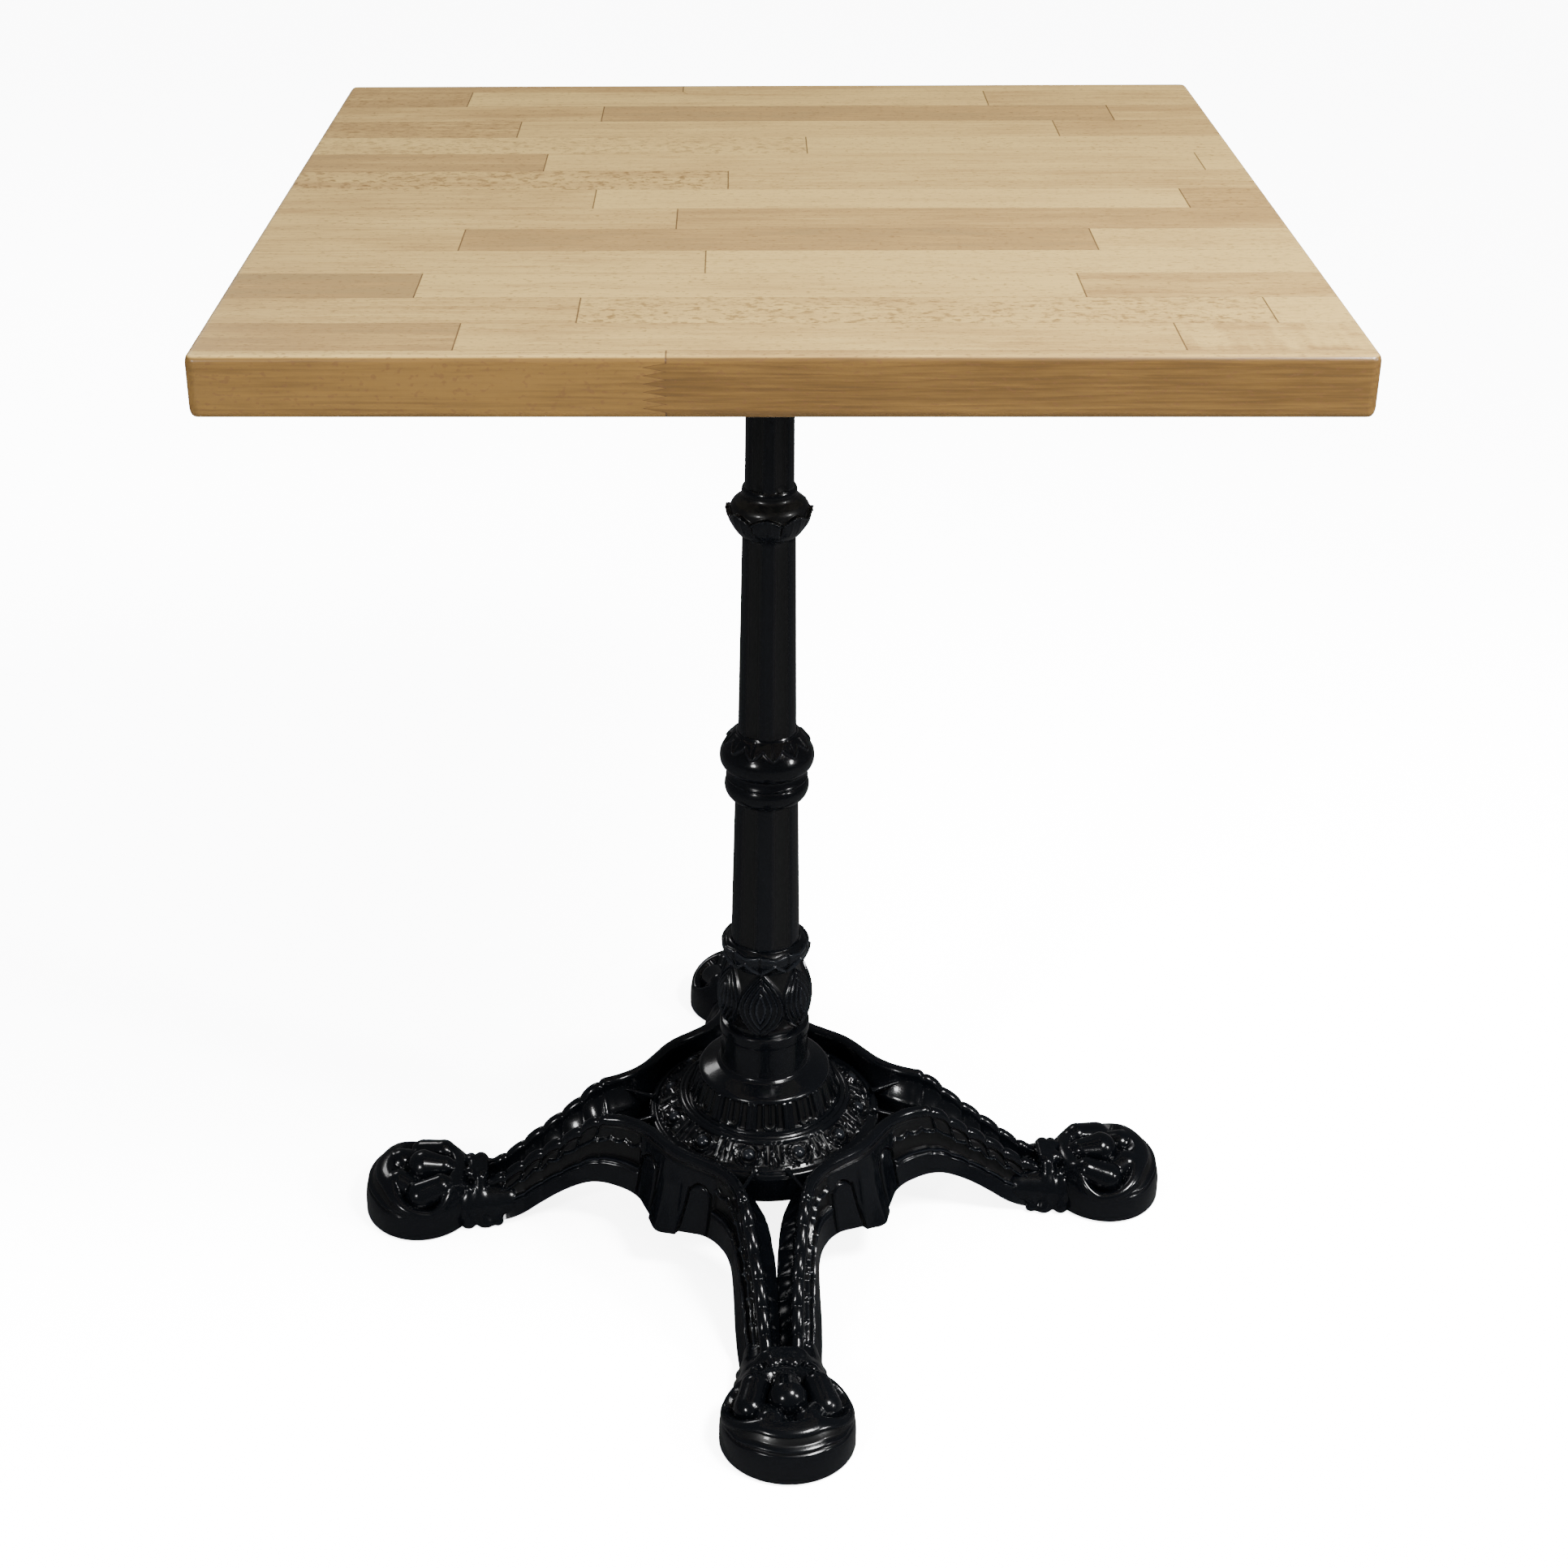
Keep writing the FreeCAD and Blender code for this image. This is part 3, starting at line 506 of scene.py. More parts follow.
# The column. Heights are above the seat on the base.
column = {
    "columns": 288, "flutes": 6, "ridgeHalf": 11.0, "ridgeTurn": -92.5, "fluteDepth": 2.3, "fluteEnd": 3.0,
    # leaves round the column and the turn of one of them in degrees
    "bulbLeaves": (6, -96.0), "crownLeaves": (9, -98.0), "ringLeaves": (12, -82.0), "petals": (8, -95.0),
    "leafHalf": 27.0, "leafBead": 0.085,     # half width of a bulb leaf in degrees, of its beads as a share
    "leafBeads": ((0.2, 1.6), (0.48, 1.7), (0.76, 1.6), (1.02, 1.7)),     # place and height of each bead
    # part: height above the seat and radius, from the foot up
    "collar": [(0.0, 31.2), (0.8, 32.0), (7.2, 32.0), (8.6, 31.2), (9.4, 29.6), (10.0, 28.2)],
    "bulb": [(10.0, 28.2), (13.0, 29.3), (19.0, 31.4), (27.0, 32.4), (36.0, 31.9), (46.0, 29.2),
             (54.0, 26.4), (60.0, 24.8)],
    "crown": [(60.0, 24.8), (62.0, 25.4), (65.0, 27.4), (69.0, 29.4), (72.0, 29.8), (75.0, 28.9),
              (77.0, 27.0), (78.0, 25.3)],
    "lowerShaft": [(78.0, 25.3), (191.0, 22.9)],
    "lowerRing": [(191.0, 22.9), (191.6, 24.6), (194.0, 27.0), (197.5, 28.6), (201.5, 29.0), (204.6, 28.0),
                  (205.8, 27.2), (206.6, 27.5), (207.6, 28.1), (208.6, 27.5), (210.5, 26.7), (212.2, 26.3),
                  (213.2, 26.6)],
    "upperRing": [(213.2, 26.6), (214.6, 28.8), (218.0, 31.4), (222.0, 32.3), (226.5, 31.8), (231.0, 29.4),
                  (235.0, 26.2), (238.0, 23.6), (240.5, 21.4), (242.0, 20.8)],
    "upperShaft": [(242.0, 20.8), (386.0, 18.5)],
    "petalRing": [(386.0, 18.5), (387.0, 20.4), (391.0, 23.2), (396.0, 25.8), (401.0, 27.2), (406.0, 27.0),
                  (409.5, 25.2), (412.0, 22.4), (414.5, 19.6), (418.5, 17.6)],
    "neckShaft": [(418.5, 17.0), (538.0, 15.8)],
}


def leafShare(angle, leaves):
    # 0 in the middle of the nearest leaf, 1 between two leaves
    count, turn = leaves
    return np.abs(foldAngle(angle, count, turn)) * count / 180.0


def fluteRelief(angle, height, along):
    # shallow round flutes between flat ridges, the depth a parabola across each flute
    half = 180.0 / column["flutes"] - column["ridgeHalf"]
    across = foldAngle(angle, column["flutes"], column["ridgeTurn"] + 180.0 / column["flutes"])
    end = column["fluteEnd"]
    ends = hump(np.clip(end - np.minimum(along, along.max() - along), 0, end), end)
    return -column["fluteDepth"] * np.clip(1 - (across / half) ** 2, 0, None) * ends


def bulbRelief(angle, height, along):
    # nested pointed ovals: lines of equal |angle| / half width + |2h - 1| ** 1.8 stand up as beads
    low, high = (seatHeight + column["bulb"][i][0] for i in (0, -1))
    low, high = low + 1.0, high - 1.0
    share = np.clip((height - low) / (high - low), 0, 1)
    across = np.abs(foldAngle(angle, *column["bulbLeaves"])) / column["leafHalf"]
    oval = across + np.abs(2 * share - 1) ** 1.8
    beads = sum(hump(oval - at, column["leafBead"]) * tall for at, tall in column["leafBeads"])
    inner = 0.8 * np.clip(1 - oval, 0, 1) - 1.3 * smoothStep(oval, 1.05, 1.4)
    fade = smoothStep(height, low - 1.0, low + 3.0)
    return (beads + inner) * fade


def crownRelief(angle, height, along):
    # pointed petals hanging from the crown: raised where the height is above a folded zigzag
    share = height - seatHeight - column["crown"][0][0]
    across = leafShare(angle, column["crownLeaves"])
    tips = 1.8 + 8.0 * across ** 1.1
    upper = 16.2 - 1.5 * across
    inside = smoothStep(share, tips - 0.5, tips + 0.3) * (1 - smoothStep(share, upper - 0.5, upper + 0.7))
    rim = hump(share - tips - 0.9, 1.1) * 1.3 + hump(share - upper + 1.0, 1.3) * 0.5
    return 1.1 * inside + 1.4 * rim * inside - 0.9 * hump(across, 0.14) * inside


def ringTipRelief(angle, height, along):
    # leaves lying on the upper half of the large ring, pointing down and out
    share = height - seatHeight - column["upperRing"][0][0]
    across = leafShare(angle, column["ringLeaves"])
    tip = 17.5 + 5.5 * across ** 1.3
    inside = smoothStep(share, tip - 0.5, tip + 0.5) * (1 - smoothStep(share, 26.0, 28.5))
    return 0.7 * inside + 0.9 * hump(share - tip - 0.9, 1.2) * inside - 0.8 * hump(across, 0.16) * inside


def petalRelief(angle, height, along):
    # upright petals round the lower half of the ring, their tips just above its widest place
    share = height - seatHeight - column["petalRing"][0][0]
    across = leafShare(angle, column["petals"])
    tip = 19.5 - 4.5 * across ** 1.6
    inside = 1 - smoothStep(share, tip - 0.4, tip + 0.5)
    rim = hump(share - tip + 1.0, 1.3) * 1.1
    cut = (1.5 * hump(1 - across, 0.14) - 0.5 * hump(across - 0.3, 0.1)) * smoothStep(share, 3.0, 8.0)
    hollow = 1.7 * (1 - inside) * (1 - smoothStep(share, 27, 32))
    return (0.2 * smoothStep(share, 0.0, 6.0) + rim - cut) * inside - hollow


def columnSection(name, part, spacing, relief=None, extend=(0.0, 0.0), replaced=()):
    # one length of the column; neighbours run a little way into each other
    line = np.array(column[part])[:, ::-1]
    if len(line) > 2:
        line = smoothCurve(line, len(line) * 8)
    line = line + [0, seatHeight]
    if extend[0]:
        line = np.vstack([line[:1] - [0.6, extend[0]], line])
    if extend[1]:
        line = np.vstack([line, line[-1:] + [-0.6, extend[1]]])
    shell = turnedShell(evenLine(line, spacing), column["columns"], relief)
    makePiece(name, [shell], glossEnamel, replaced, sharp=55.0)


columnSection("columnFootCollar", "collar", 0.7, extend=(0.0, 2.0), replaced=["column"])
columnSection("columnBulb", "bulb", 0.62, bulbRelief, extend=(0.0, 1.5))
columnSection("columnLeafCrown", "crown", 0.5, crownRelief, extend=(1.5, 1.5))
columnSection("columnLowerShaft", "lowerShaft", 3.0, fluteRelief, extend=(1.0, 1.0))
columnSection("columnLowerRing", "lowerRing", 0.6, extend=(1.0, 1.0))
columnSection("columnUpperRing", "upperRing", 0.55, ringTipRelief, extend=(1.0, 1.0))
columnSection("columnUpperShaft", "upperShaft", 3.0, fluteRelief, extend=(1.0, 1.0))
columnSection("columnPetalRing", "petalRing", 0.5, petalRelief, extend=(1.0, 1.0))
columnSection("columnNeckShaft", "neckShaft", 3.0, fluteRelief, extend=(1.0, 8.0))
print("column done")

# The dome. Heights are above the floor, and the outline runs up the outside.
dome = {
    "columns": 480, "drumFlutes": 12, "drumTurn": 1.3, "eggs": 12, "eggTurn": 17.4, "wall": 5.0,
    "outside": [(83.6, 60.0), (84.4, 62.0), (84.4, 79.0), (83.4, 81.6), (81.4, 82.6), (79.6, 82.4),
                (78.4, 83.2), (77.0, 84.4), (62.6, 94.4), (61.4, 96.0), (60.0, 96.6), (58.8, 95.9),
                (57.6, 96.8), (56.2, 97.0), (55.0, 96.4), (54.3, 97.6), (47.2, 118.4), (46.4, 119.4),
                (44.6, 120.4), (33.6, 124.8), (32.6, 125.9), (31.8, 126.4), (31.5, 128.0)],
    "bore": 6.6, "nutPad": 21.0, "padHeight": 100.0,
    # round the drum, in degrees: the frame and its bars, the tongue in it, the slab between
    "drumGround": -1.6, "frameAt": 5.6, "barHalf": 1.9, "frameHeight": 2.5, "frameFoot": 103.5,
    "tongueHalf": 2.2, "tongueHeight": 1.5, "slabHalf": (3.9, 4.9), "slabHeight": 2.4, "slabGroove": 0.9,
    # round the slope: (height, radius or place, half width) in mm
    "slopeGround": -1.4, "slopeRadius": 69.5, "slopeCosine": 0.82,
    "egg": (4.2, 4.9), "cup": (2.4, 7.3, 1.5), "sleeve": (1.6, 10.0, 1.2), "bars": (2.0, 6.0, 1.4),
    "dart": (2.3, 1.5, 1.3), "dartBack": (1.6, 1.0),
}


def domeInside():
    # the seat of the column, the bore, the pad of the nut, and back along the underside
    top, bore, pad, level = seatHeight - 0.05, dome["bore"], dome["nutPad"], dome["padHeight"]
    underneath = np.array([(46.0, 118.0), (54.0, 97.0), (61.0, 95.5), (77.0, 85.0)]) - dome["wall"]
    return [(31.2, top), (bore, top), (bore, level), (pad, level), (pad, 113.0), *underneath, (78.6, 60.0)]


def domeRelief(angle, height, along):
    # humps and steps in the distance from the middle of the nearest frame, slab, egg or dart
    turned = angle - math.degrees(footTurn)
    onDrum = smoothStep(height, 98.5, 99.3) * (1 - smoothStep(height, 116.5, 117.3))
    across = np.abs(foldAngle(turned, dome["drumFlutes"], dome["drumTurn"]))
    frameFoot, frameAt, barHalf = dome["frameFoot"], dome["frameAt"], dome["barHalf"]
    sides = hump(across - frameAt, barHalf) * (height > frameFoot - 0.5)
    foot = hump(np.hypot(across, (frameFoot - height) * 1.15) - frameAt, barHalf) * (height <= frameFoot)
    tongue = hump(across, dome["tongueHalf"]) * smoothStep(height, 101.5, 104.0)
    apart = np.abs(foldAngle(turned, dome["drumFlutes"], dome["drumTurn"] + 180.0 / dome["drumFlutes"]))
    slab = dome["slabHeight"] * (1 - smoothStep(apart, *dome["slabHalf"]))
    slab = slab - dome["slabGroove"] * (1 - smoothStep(apart, 0.4, 1.2))
    drum = onDrum * (dome["drumGround"] + dome["frameHeight"] * np.maximum(sides, foot)
                     + dome["tongueHeight"] * tongue + slab)

    def standing(distance, part):
        # a bar or ring at its place with its half width
        tall, place, half = dome[part]
        return tall * hump(distance - place, half)

    slope = along - startEggs - eggSlope / 2                # mm up the slope from its middle
    radius = dome["slopeRadius"] - slope * dome["slopeCosine"]
    sideways = np.radians(foldAngle(turned, dome["eggs"], dome["eggTurn"])) * radius
    distance = np.hypot(sideways, slope - 0.4)
    onSlope = smoothStep(np.abs(slope), eggSlope / 2, eggSlope / 2 - 1.0)
    egg = dome["egg"][0] * bead(distance, dome["egg"][1])
    cup = standing(distance, "cup") * smoothStep(slope, 7.6, 6.4)
    sleeve = standing(distance, "sleeve") * (slope < 5.0)
    nextSector = foldAngle(turned, dome["eggs"], dome["eggTurn"] + 180.0 / dome["eggs"])
    beside = np.abs(np.radians(nextSector) * radius)
    tall, half = dome["dartBack"]
    dart = standing(beside - 0.14 * np.clip(4 - slope, 0, 9), "dart") + tall * hump(beside, half) * (slope < -1.0)
    bars = standing(beside, "bars") * (slope > -6.5)
    clear = smoothStep(distance, 8.0, 9.0)
    tallest = np.maximum.reduce([egg, cup, sleeve * clear, dart * clear, bars * clear])
    return (drum + onSlope * (dome["slopeGround"] + tallest)) * (along < insideFrom)


outside = dome["outside"]
outline = [evenLine(outside[:7], 1.2), evenLine(outside[7:9], 0.55), evenLine(outside[9:16], 0.7)[:-1],
           evenLine(outside[15:17], 0.55), evenLine(outside[17:], 1.4), evenLine(domeInside(), 7.0)]
domeLine = np.vstack(outline)
steps = np.concatenate([[0], np.cumsum(np.linalg.norm(np.diff(domeLine, axis=0), axis=1))])
startEggs, endEggs = steps[len(outline[0])], steps[len(outline[0]) + len(outline[1]) - 1]
eggSlope = endEggs - startEggs
insideFrom = steps[-len(outline[-1])]
makePiece("baseDome", [turnedShell(domeLine, dome["columns"], domeRelief, closed=True)], glossEnamel,
          ["base_casting"], sharp=60.0)
print("dome done")

# The leg rails. Each runs from one paw round the diagonal to the next paw. Rows from the paw to the
# diagonal: crest along the leg and aside, foot along and aside, crest height, underside height.
rail = {
    "rows": [
        (205.0, 10.0, 205.0, 27.0, 29.5, 2.6),
        (190.0, 11.0, 190.0, 28.3, 37.0, 6.0),
        (178.0, 12.0, 178.0, 29.4, 46.5, 12.0),
        (165.0, 13.0, 166.0, 30.0, 57.0, 21.0),
        (153.0, 14.8, 154.0, 30.0, 66.0, 29.0),
        (140.0, 17.0, 142.0, 30.2, 76.0, 35.5),
        (127.0, 19.3, 130.0, 31.0, 87.0, 40.0),
        (116.0, 22.0, 119.0, 33.3, 93.0, 41.3),
        (104.0, 25.5, 109.0, 37.1, 94.5, 40.7),
        (94.0, 31.0, 100.0, 42.5, 94.8, 40.0),
        (85.0, 39.0, 93.0, 50.0, 95.0, 39.2),
        (77.0, 49.6, 89.0, 59.5, 95.0, 38.4),
        (71.2, 58.0, 85.0, 70.0, 95.0, 38.0),
        (65.2, 65.2, 81.0, 81.0, 95.0, 38.0),
    ],
    "stations": 560, "faceSteps": 84, "crestRadius": 4.3, "scallop": 11.5, "lobe": 14.0,
    "webFrom": 152.0, "webTo": 46.0, "webDepth": 17.0,   # the rails grow together below their crests
    "flare": 1.6, "leafHeight": 3.0, "leafFoot": 1.4, "leaves": (4.0, 12.0, 84.0, 92.0), "pendant": 3.6,
    # down the outer face: places as shares of its height, heights and half widths in mm
    "border": 0.26, "scallopShare": 0.065, "borderBead": (1.9, 1.3), "fascia": 1.2, "panel": 3.0,
    "step": (0.6, 2.0, 1.5), "secondStep": (0.675, 1.2, 1.3), "crestGroove": (3.2, 1.6, 2.2),
    "vein": (1.8, 1.4), "plain": (36.0, 39.0), "tongueAt": 25.5, "tongueTop": 0.30, "pilaster": 2.2,
}


def railShell():
    # A section carried along the rail: a round crest, an outer face that flares out to the foot as
    # h ** flare, a flat sole and an upright inner face, with the ornament added along the face's normal.
    half = np.array(rail["rows"])
    mirrored = half[:-1][::-1][:, [1, 0, 3, 2, 4, 5]]
    fine = smoothCurve(np.vstack([half, mirrored]), 4001)
    middle = (fine[:, :2] + fine[:, 2:4]) / 2
    length = np.concatenate([[0], np.cumsum(np.linalg.norm(np.diff(middle, axis=0), axis=1))])
    even = np.linspace(0, length[-1], rail["stations"])
    path = np.stack([np.interp(even, length, fine[:, k]) for k in range(6)], 1)
    fromDiagonal = np.abs(even - length[-1] / 2)[:, None]
    fromPaw = length[-1] / 2 - fromDiagonal
    crest, foot, crestHeight, under = path[:, None, :2], path[:, None, 2:4], path[:, 4:5], path[:, 5:6]
    out = foot - crest
    width = np.linalg.norm(out, axis=2, keepdims=True)
    out = out / width
    width = width[:, :, 0]
    radius = rail["crestRadius"]

    # the crest: sharp-backed leaves overlap down the slope, and it is plain over the hump
    start, full, falling, end = rail["leaves"]
    descending = smoothStep(fromPaw, start, full) * (1 - smoothStep(fromPaw, falling, end))
    phase = (fromPaw / rail["lobe"]) % 1.0
    leaf = np.abs(np.sin(np.pi * phase ** 0.8)) ** 0.6 * rail["leafHeight"] - rail["leafFoot"]
    crestHeight = crestHeight + leaf * descending
    # the pendant under the diagonal hangs lower than the arches beside it
    pendant = 1 - smoothStep(fromDiagonal, 11.5, 14.5)
    under = under - rail["pendant"] * pendant

    turn = np.linspace(np.pi, 0, 13)[None, :]
    crestAside, crestUp = radius * np.cos(turn), crestHeight - radius + radius * np.sin(turn)
    h, flare = np.linspace(0, 1, rail["faceSteps"] + 1)[None, 1:], rail["flare"]
    drop = crestHeight - radius - under
    faceAside = radius + (width - radius) * h ** flare
    faceUp = crestHeight - radius - drop * h
    slopeOut, slopeDown = flare * (width - radius) * h ** (flare - 1), drop
    slopeLength = np.hypot(slopeOut, slopeDown)
    normalOut, normalUp = slopeDown / slopeLength, slopeOut / slopeLength
    depth = h * np.hypot(drop, width - radius)              # mm down the face

    # ornament: a smooth fascia with a scalloped border, a sunk panel, a double step, a plain flange
    plain = 1 - smoothStep(fromDiagonal, *rail["plain"])
    nearPaw = smoothStep(fromPaw, 2.0, 8.0)
    scallop = np.abs(np.sin(np.pi * (fromDiagonal - rail["plain"][1]) / rail["scallop"])) ** 0.7
    border = rail["border"] + rail["scallopShare"] * scallop
    stepAt, stepHeight, stepHalf = rail["step"]
    secondAt, secondHeight, secondHalf = rail["secondStep"]
    inPanel = smoothStep(h, border - 0.008, border + 0.008)
    inPanel = inPanel * (1 - smoothStep(h, stepAt - 0.04, stepAt - 0.02))
    borderBead = rail["borderBead"][0] * hump((h - border + 0.02) * drop, rail["borderBead"][1])
    fascia = smoothStep(h, 0.07, 0.12) * (1 - smoothStep(h, border - 0.06, border - 0.03))
    doubleStep = (stepHeight * hump((h - stepAt) * drop, stepHalf)
                  + secondHeight * hump((h - secondAt) * drop, secondHalf))
    leafVein = hump((phase - 0.95) * rail["lobe"] + (h - 0.1) * 14.0, rail["vein"][1])
    leafVein = rail["vein"][0] * descending * leafVein * (h < border)
    grooveAt, grooveDepth, grooveHalf = rail["crestGroove"]
    along = borderBead + doubleStep + leafVein - rail["fascia"] * fascia - rail["panel"] * inPanel
    along = (1 - plain) * nearPaw * along - grooveDepth * hump(depth - grooveAt, grooveHalf)

    # tongues beside the pilaster: a raised panel with a round top inside a sunk line
    fromMiddle, halfWide = np.abs(fromDiagonal - rail["tongueAt"]), 6.0 + 5.0 * h
    topAt = rail["tongueTop"] + 0.10 * np.clip(fromMiddle / halfWide, 0, 1) ** 2.2
    edgeDistance = np.minimum(halfWide - fromMiddle, (h - topAt) * drop)
    tongue = 0.8 * smoothStep(edgeDistance, -0.3, 1.3) - 2.6 * hump(edgeDistance + 1.2, 1.3)
    pilaster = 1 - smoothStep(fromDiagonal, 8.5 + 4.5 * h ** 2, 11.5 + 4.5 * h ** 2)
    pilaster = rail["pilaster"] * pilaster * smoothStep(h, 0.05, 0.4)
    near = smoothStep(fromDiagonal, 12.0, 13.0) * (1 - smoothStep(fromDiagonal, 38.0, rail["plain"][1]))
    relief = along + tongue * near * smoothStep(h, 0.2, 0.3) + pilaster
    faceEnds = smoothStep(h, 0.0, 0.06) * (1 - smoothStep(h, 0.985, 1.0))
    relief = relief * faceEnds
    faceAside, faceUp = faceAside + relief * normalOut, faceUp + relief * normalUp

    sole = np.linspace(0, 1, 5)[None, 1:-1]
    soleAside = width + (-radius - width) * sole
    soleUp = under + 0 * sole
    innerShare = np.linspace(0, 1, 25)[None, :-1]
    innerUp = under + (crestHeight - radius - under) * innerShare
    # towards the paw the inner face leans in below the crest until it meets its neighbour's
    half = np.minimum(path[:, :1], path[:, 1:2]) - radius + 0.3
    web = smoothStep(fromPaw, rail["webFrom"], rail["webTo"])
    lean = np.clip((crestHeight - radius - innerUp) / rail["webDepth"], 0, 1) ** 1.5
    innerAside = -radius + 0.8 * np.sin(np.pi * innerShare) * (1 - web) - web * half * lean
    crestAside = crestAside + 0 * crestUp
    aside = np.concatenate([crestAside, faceAside, soleAside, innerAside], 1)
    upward = np.concatenate([crestUp, faceUp, soleUp, innerUp], 1)
    plan = crest + out * aside[:, :, None]
    points = np.concatenate([plan, upward[:, :, None]], 2).reshape(-1, 3)
    columns = aside.shape[1]
    # the pilaster is too broad to take the lighter rubbed wear and painted highlight
    relief = relief - pilaster * faceEnds
    reliefAll = np.concatenate([0 * crestUp, relief, 0 * soleAside, 0 * innerUp], 1)
    return points, gridFaces(rail["stations"], columns), {"relief": reliefAll.ravel()}


onEachLeg({"railFrom": [railShell()]}, 60.0)
print("rails done")

# thin bars from the rim of the dome to the rails: along the leg, aside, height
spoke = {"start": (80.0, 11.6, 83.6), "end": (107.0, 24.4, 84.2), "radius": 1.4, "flare": 1.6,
         "rings": 25, "sides": 20}


def spokeShell(side):
    # a round bar whose radius grows towards both ends, as cast fillets do
    start, end = np.array(spoke["start"]) * [1, side, 1], np.array(spoke["end"]) * [1, side, 1]
    share = np.linspace(0, 1, spoke["rings"])[:, None]
    radius = spoke["radius"] + spoke["flare"] * (2 * share - 1) ** 6
    turn = (np.arange(spoke["sides"]) * 2 * np.pi / spoke["sides"])[None, :, None]
    along = (end - start) / np.linalg.norm(end - start)
    across = np.cross(along, [0, 0, 1.0])
    across /= np.linalg.norm(across)
    around = np.cos(turn) * across + np.sin(turn) * np.cross(across, along)
    points = ((start + (end - start) * share)[:, None, :] + radius[:, :, None] * around).reshape(-1, 3)
    return points, gridFaces(spoke["rings"], spoke["sides"]), {"relief": np.zeros(len(points))}


onEachLeg({"spokes": [spokeShell(1), spokeShell(-1)]}, 40.0)

# The paws: along the leg from the column, aside, height. Drops are (start, end, radius at each),
# and one that lies aside has its twin on the other side.
paw = {
    "middle": (legReach + 4.0, 0.0, 8.0), "size": (41.5, 45.0, 34.8), "power": 2.6, "sole": 2.0,
    "toeRim": 35.5, "sideRim": 21.5, "heelRim": 34.0,       # height of the shoe's rim
    "mouthDepth": 5.0, "floorTop": 30.0, "floorFall": 0.013,
    "lines": [(-8.6, 1.1, 1.4), (-11.4, -1.3, 1.3)],        # below the rim, height, half width
    "step": (7.6, 6.4, 3.0, 1.6), "stepDepth": 1.3,         # below the rim
    "drops": [((221.0, 0.0, 25.0), (237.0, 0.0, 33.0), 5.5, 8.8),
              ((237.0, 0.0, 33.0), (251.0, 0.0, 33.5), 8.8, 13.2),
              ((223.0, 16.0, 26.0), (238.0, 20.5, 31.0), 5.5, 9.6),
              ((238.0, 20.5, 31.0), (253.0, 24.5, 26.5), 9.6, 11.4),
              ((262.0, 15.0, 26.0), (269.0, 12.5, 28.5), 10.4, 10.8),
              ((272.0, 0.0, 28.0), (278.0, 0.0, 30.0), 5.5, 5.0)],
    "centre": (legReach, 0.0, 5.0), "rows": 190, "columns": 320, "reach": 75.0, "lowest": -4.6,
    # radius and height of the hollow underside, from the stud's thread out to the sole
    "underside": [(4.05, 33.0), (4.05, 9.9), (9.0, 9.9), (9.0, 23.0), (11.0, 25.0), (22.0, 25.0),
                  (24.0, 23.0), (30.0, 2.0)],
}
neck = {
    "drops": [((190.0, 13.0, 13.0), (227.0, 15.0, 12.0), 13.0, 15.5),
              ((200.0, 0.0, 13.0), (228.0, 0.0, 13.0), 13.0, 16.0),
              ((210.0, 11.0, 31.0), (210.0, 19.0, 18.0), 5.6, 6.2),
              ((210.0, 22.0, 14.0), (206.0, 26.0, 3.0), 5.8, 7.0),
              ((199.0, 22.0, 17.0), (197.0, 27.0, 4.0), 3.2, 4.2),
              ((218.0, 19.0, 26.0), (218.5, 28.5, 5.0), 4.4, 5.8),
              ((218.5, 6.5, 32.5), (219.0, 6.5, 30.0), 4.2, 4.2)],
    "block": ((211.5, 0.0, 27.0), (8.0, 11.5, 10.0), 4.0),      # middle, half sizes, rounding
    "centre": (211.0, 0.0, 12.0), "rows": 110, "columns": 190, "reach": 60.0, "lowest": -25.0,
    "underside": [],
}


def dropDistances(p, drops):
    # distance to tapered capsules: to each axis, less a radius that changes evenly along it
    for start, end, startRadius, endRadius in drops:
        for side in (1, -1) if start[1] else (1,):
            first, last = np.array(start) * [1, side, 1], np.array(end) * [1, side, 1]
            line = last - first
            share = np.clip((p - first) @ line / (line @ line), 0, 1)
            radius = startRadius + (endRadius - startRadius) * share
            yield np.linalg.norm(p - first - share[..., None] * line, axis=-1) - radius


def softUnion(softness, whole, *others):
    # the smallest distance, with a fillet where two are about equal
    for other in others:
        mix = np.clip(0.5 + 0.5 * (other - whole) / softness, 0, 1)
        whole = other + (whole - other) * mix - softness * mix * (1 - mix)
    return whole


def rimHeight(p):
    # the rim falls in an S from the toe to the sides and rises again at the heel
    turn = np.degrees(np.abs(np.arctan2(p[..., 1], p[..., 0] - legReach)))
    dip = 1 - smoothStep(turn, 30.0, 98.0)
    return (paw["sideRim"] + (paw["toeRim"] - paw["sideRim"]) * dip
            + (paw["heelRim"] - paw["sideRim"]) * smoothStep(turn, 95.0, 132.0)), turn


def pawDistance(p):
    # a shoe of the form rho ** n + height ** n = 1, its top cut to the rim and hollowed inside it,
    # with knuckles standing in the mouth
    shift = p - np.array(paw["middle"])
    (length, width, tall), power = paw["size"], paw["power"]
    rho = np.hypot(shift[..., 0] / length, shift[..., 1] / width)
    lift = np.maximum(shift[..., 2], 0) / tall
    body = ((rho ** power + lift ** power) ** (1 / power) - 1) * 34.0      # about mm outside the shoe
    rim = rimHeight(p)[0]
    fromAxis = np.hypot(p[..., 0] - legReach, p[..., 1])
    inside = smoothStep(-body, 1.0, 4.0)
    top = np.maximum(rim - paw["mouthDepth"] * inside, paw["floorTop"] - paw["floorFall"] * fromAxis ** 2)
    shoe = -softUnion(1.4, -body, -(p[..., 2] - top) * 0.6)
    lip = np.hypot(body + 1.2, (p[..., 2] - rim) * 0.7) - 1.7
    knuckles = softUnion(0.6, *dropDistances(p, paw["drops"]))
    return softUnion(0.8, softUnion(1.0, shoe, lip), knuckles)


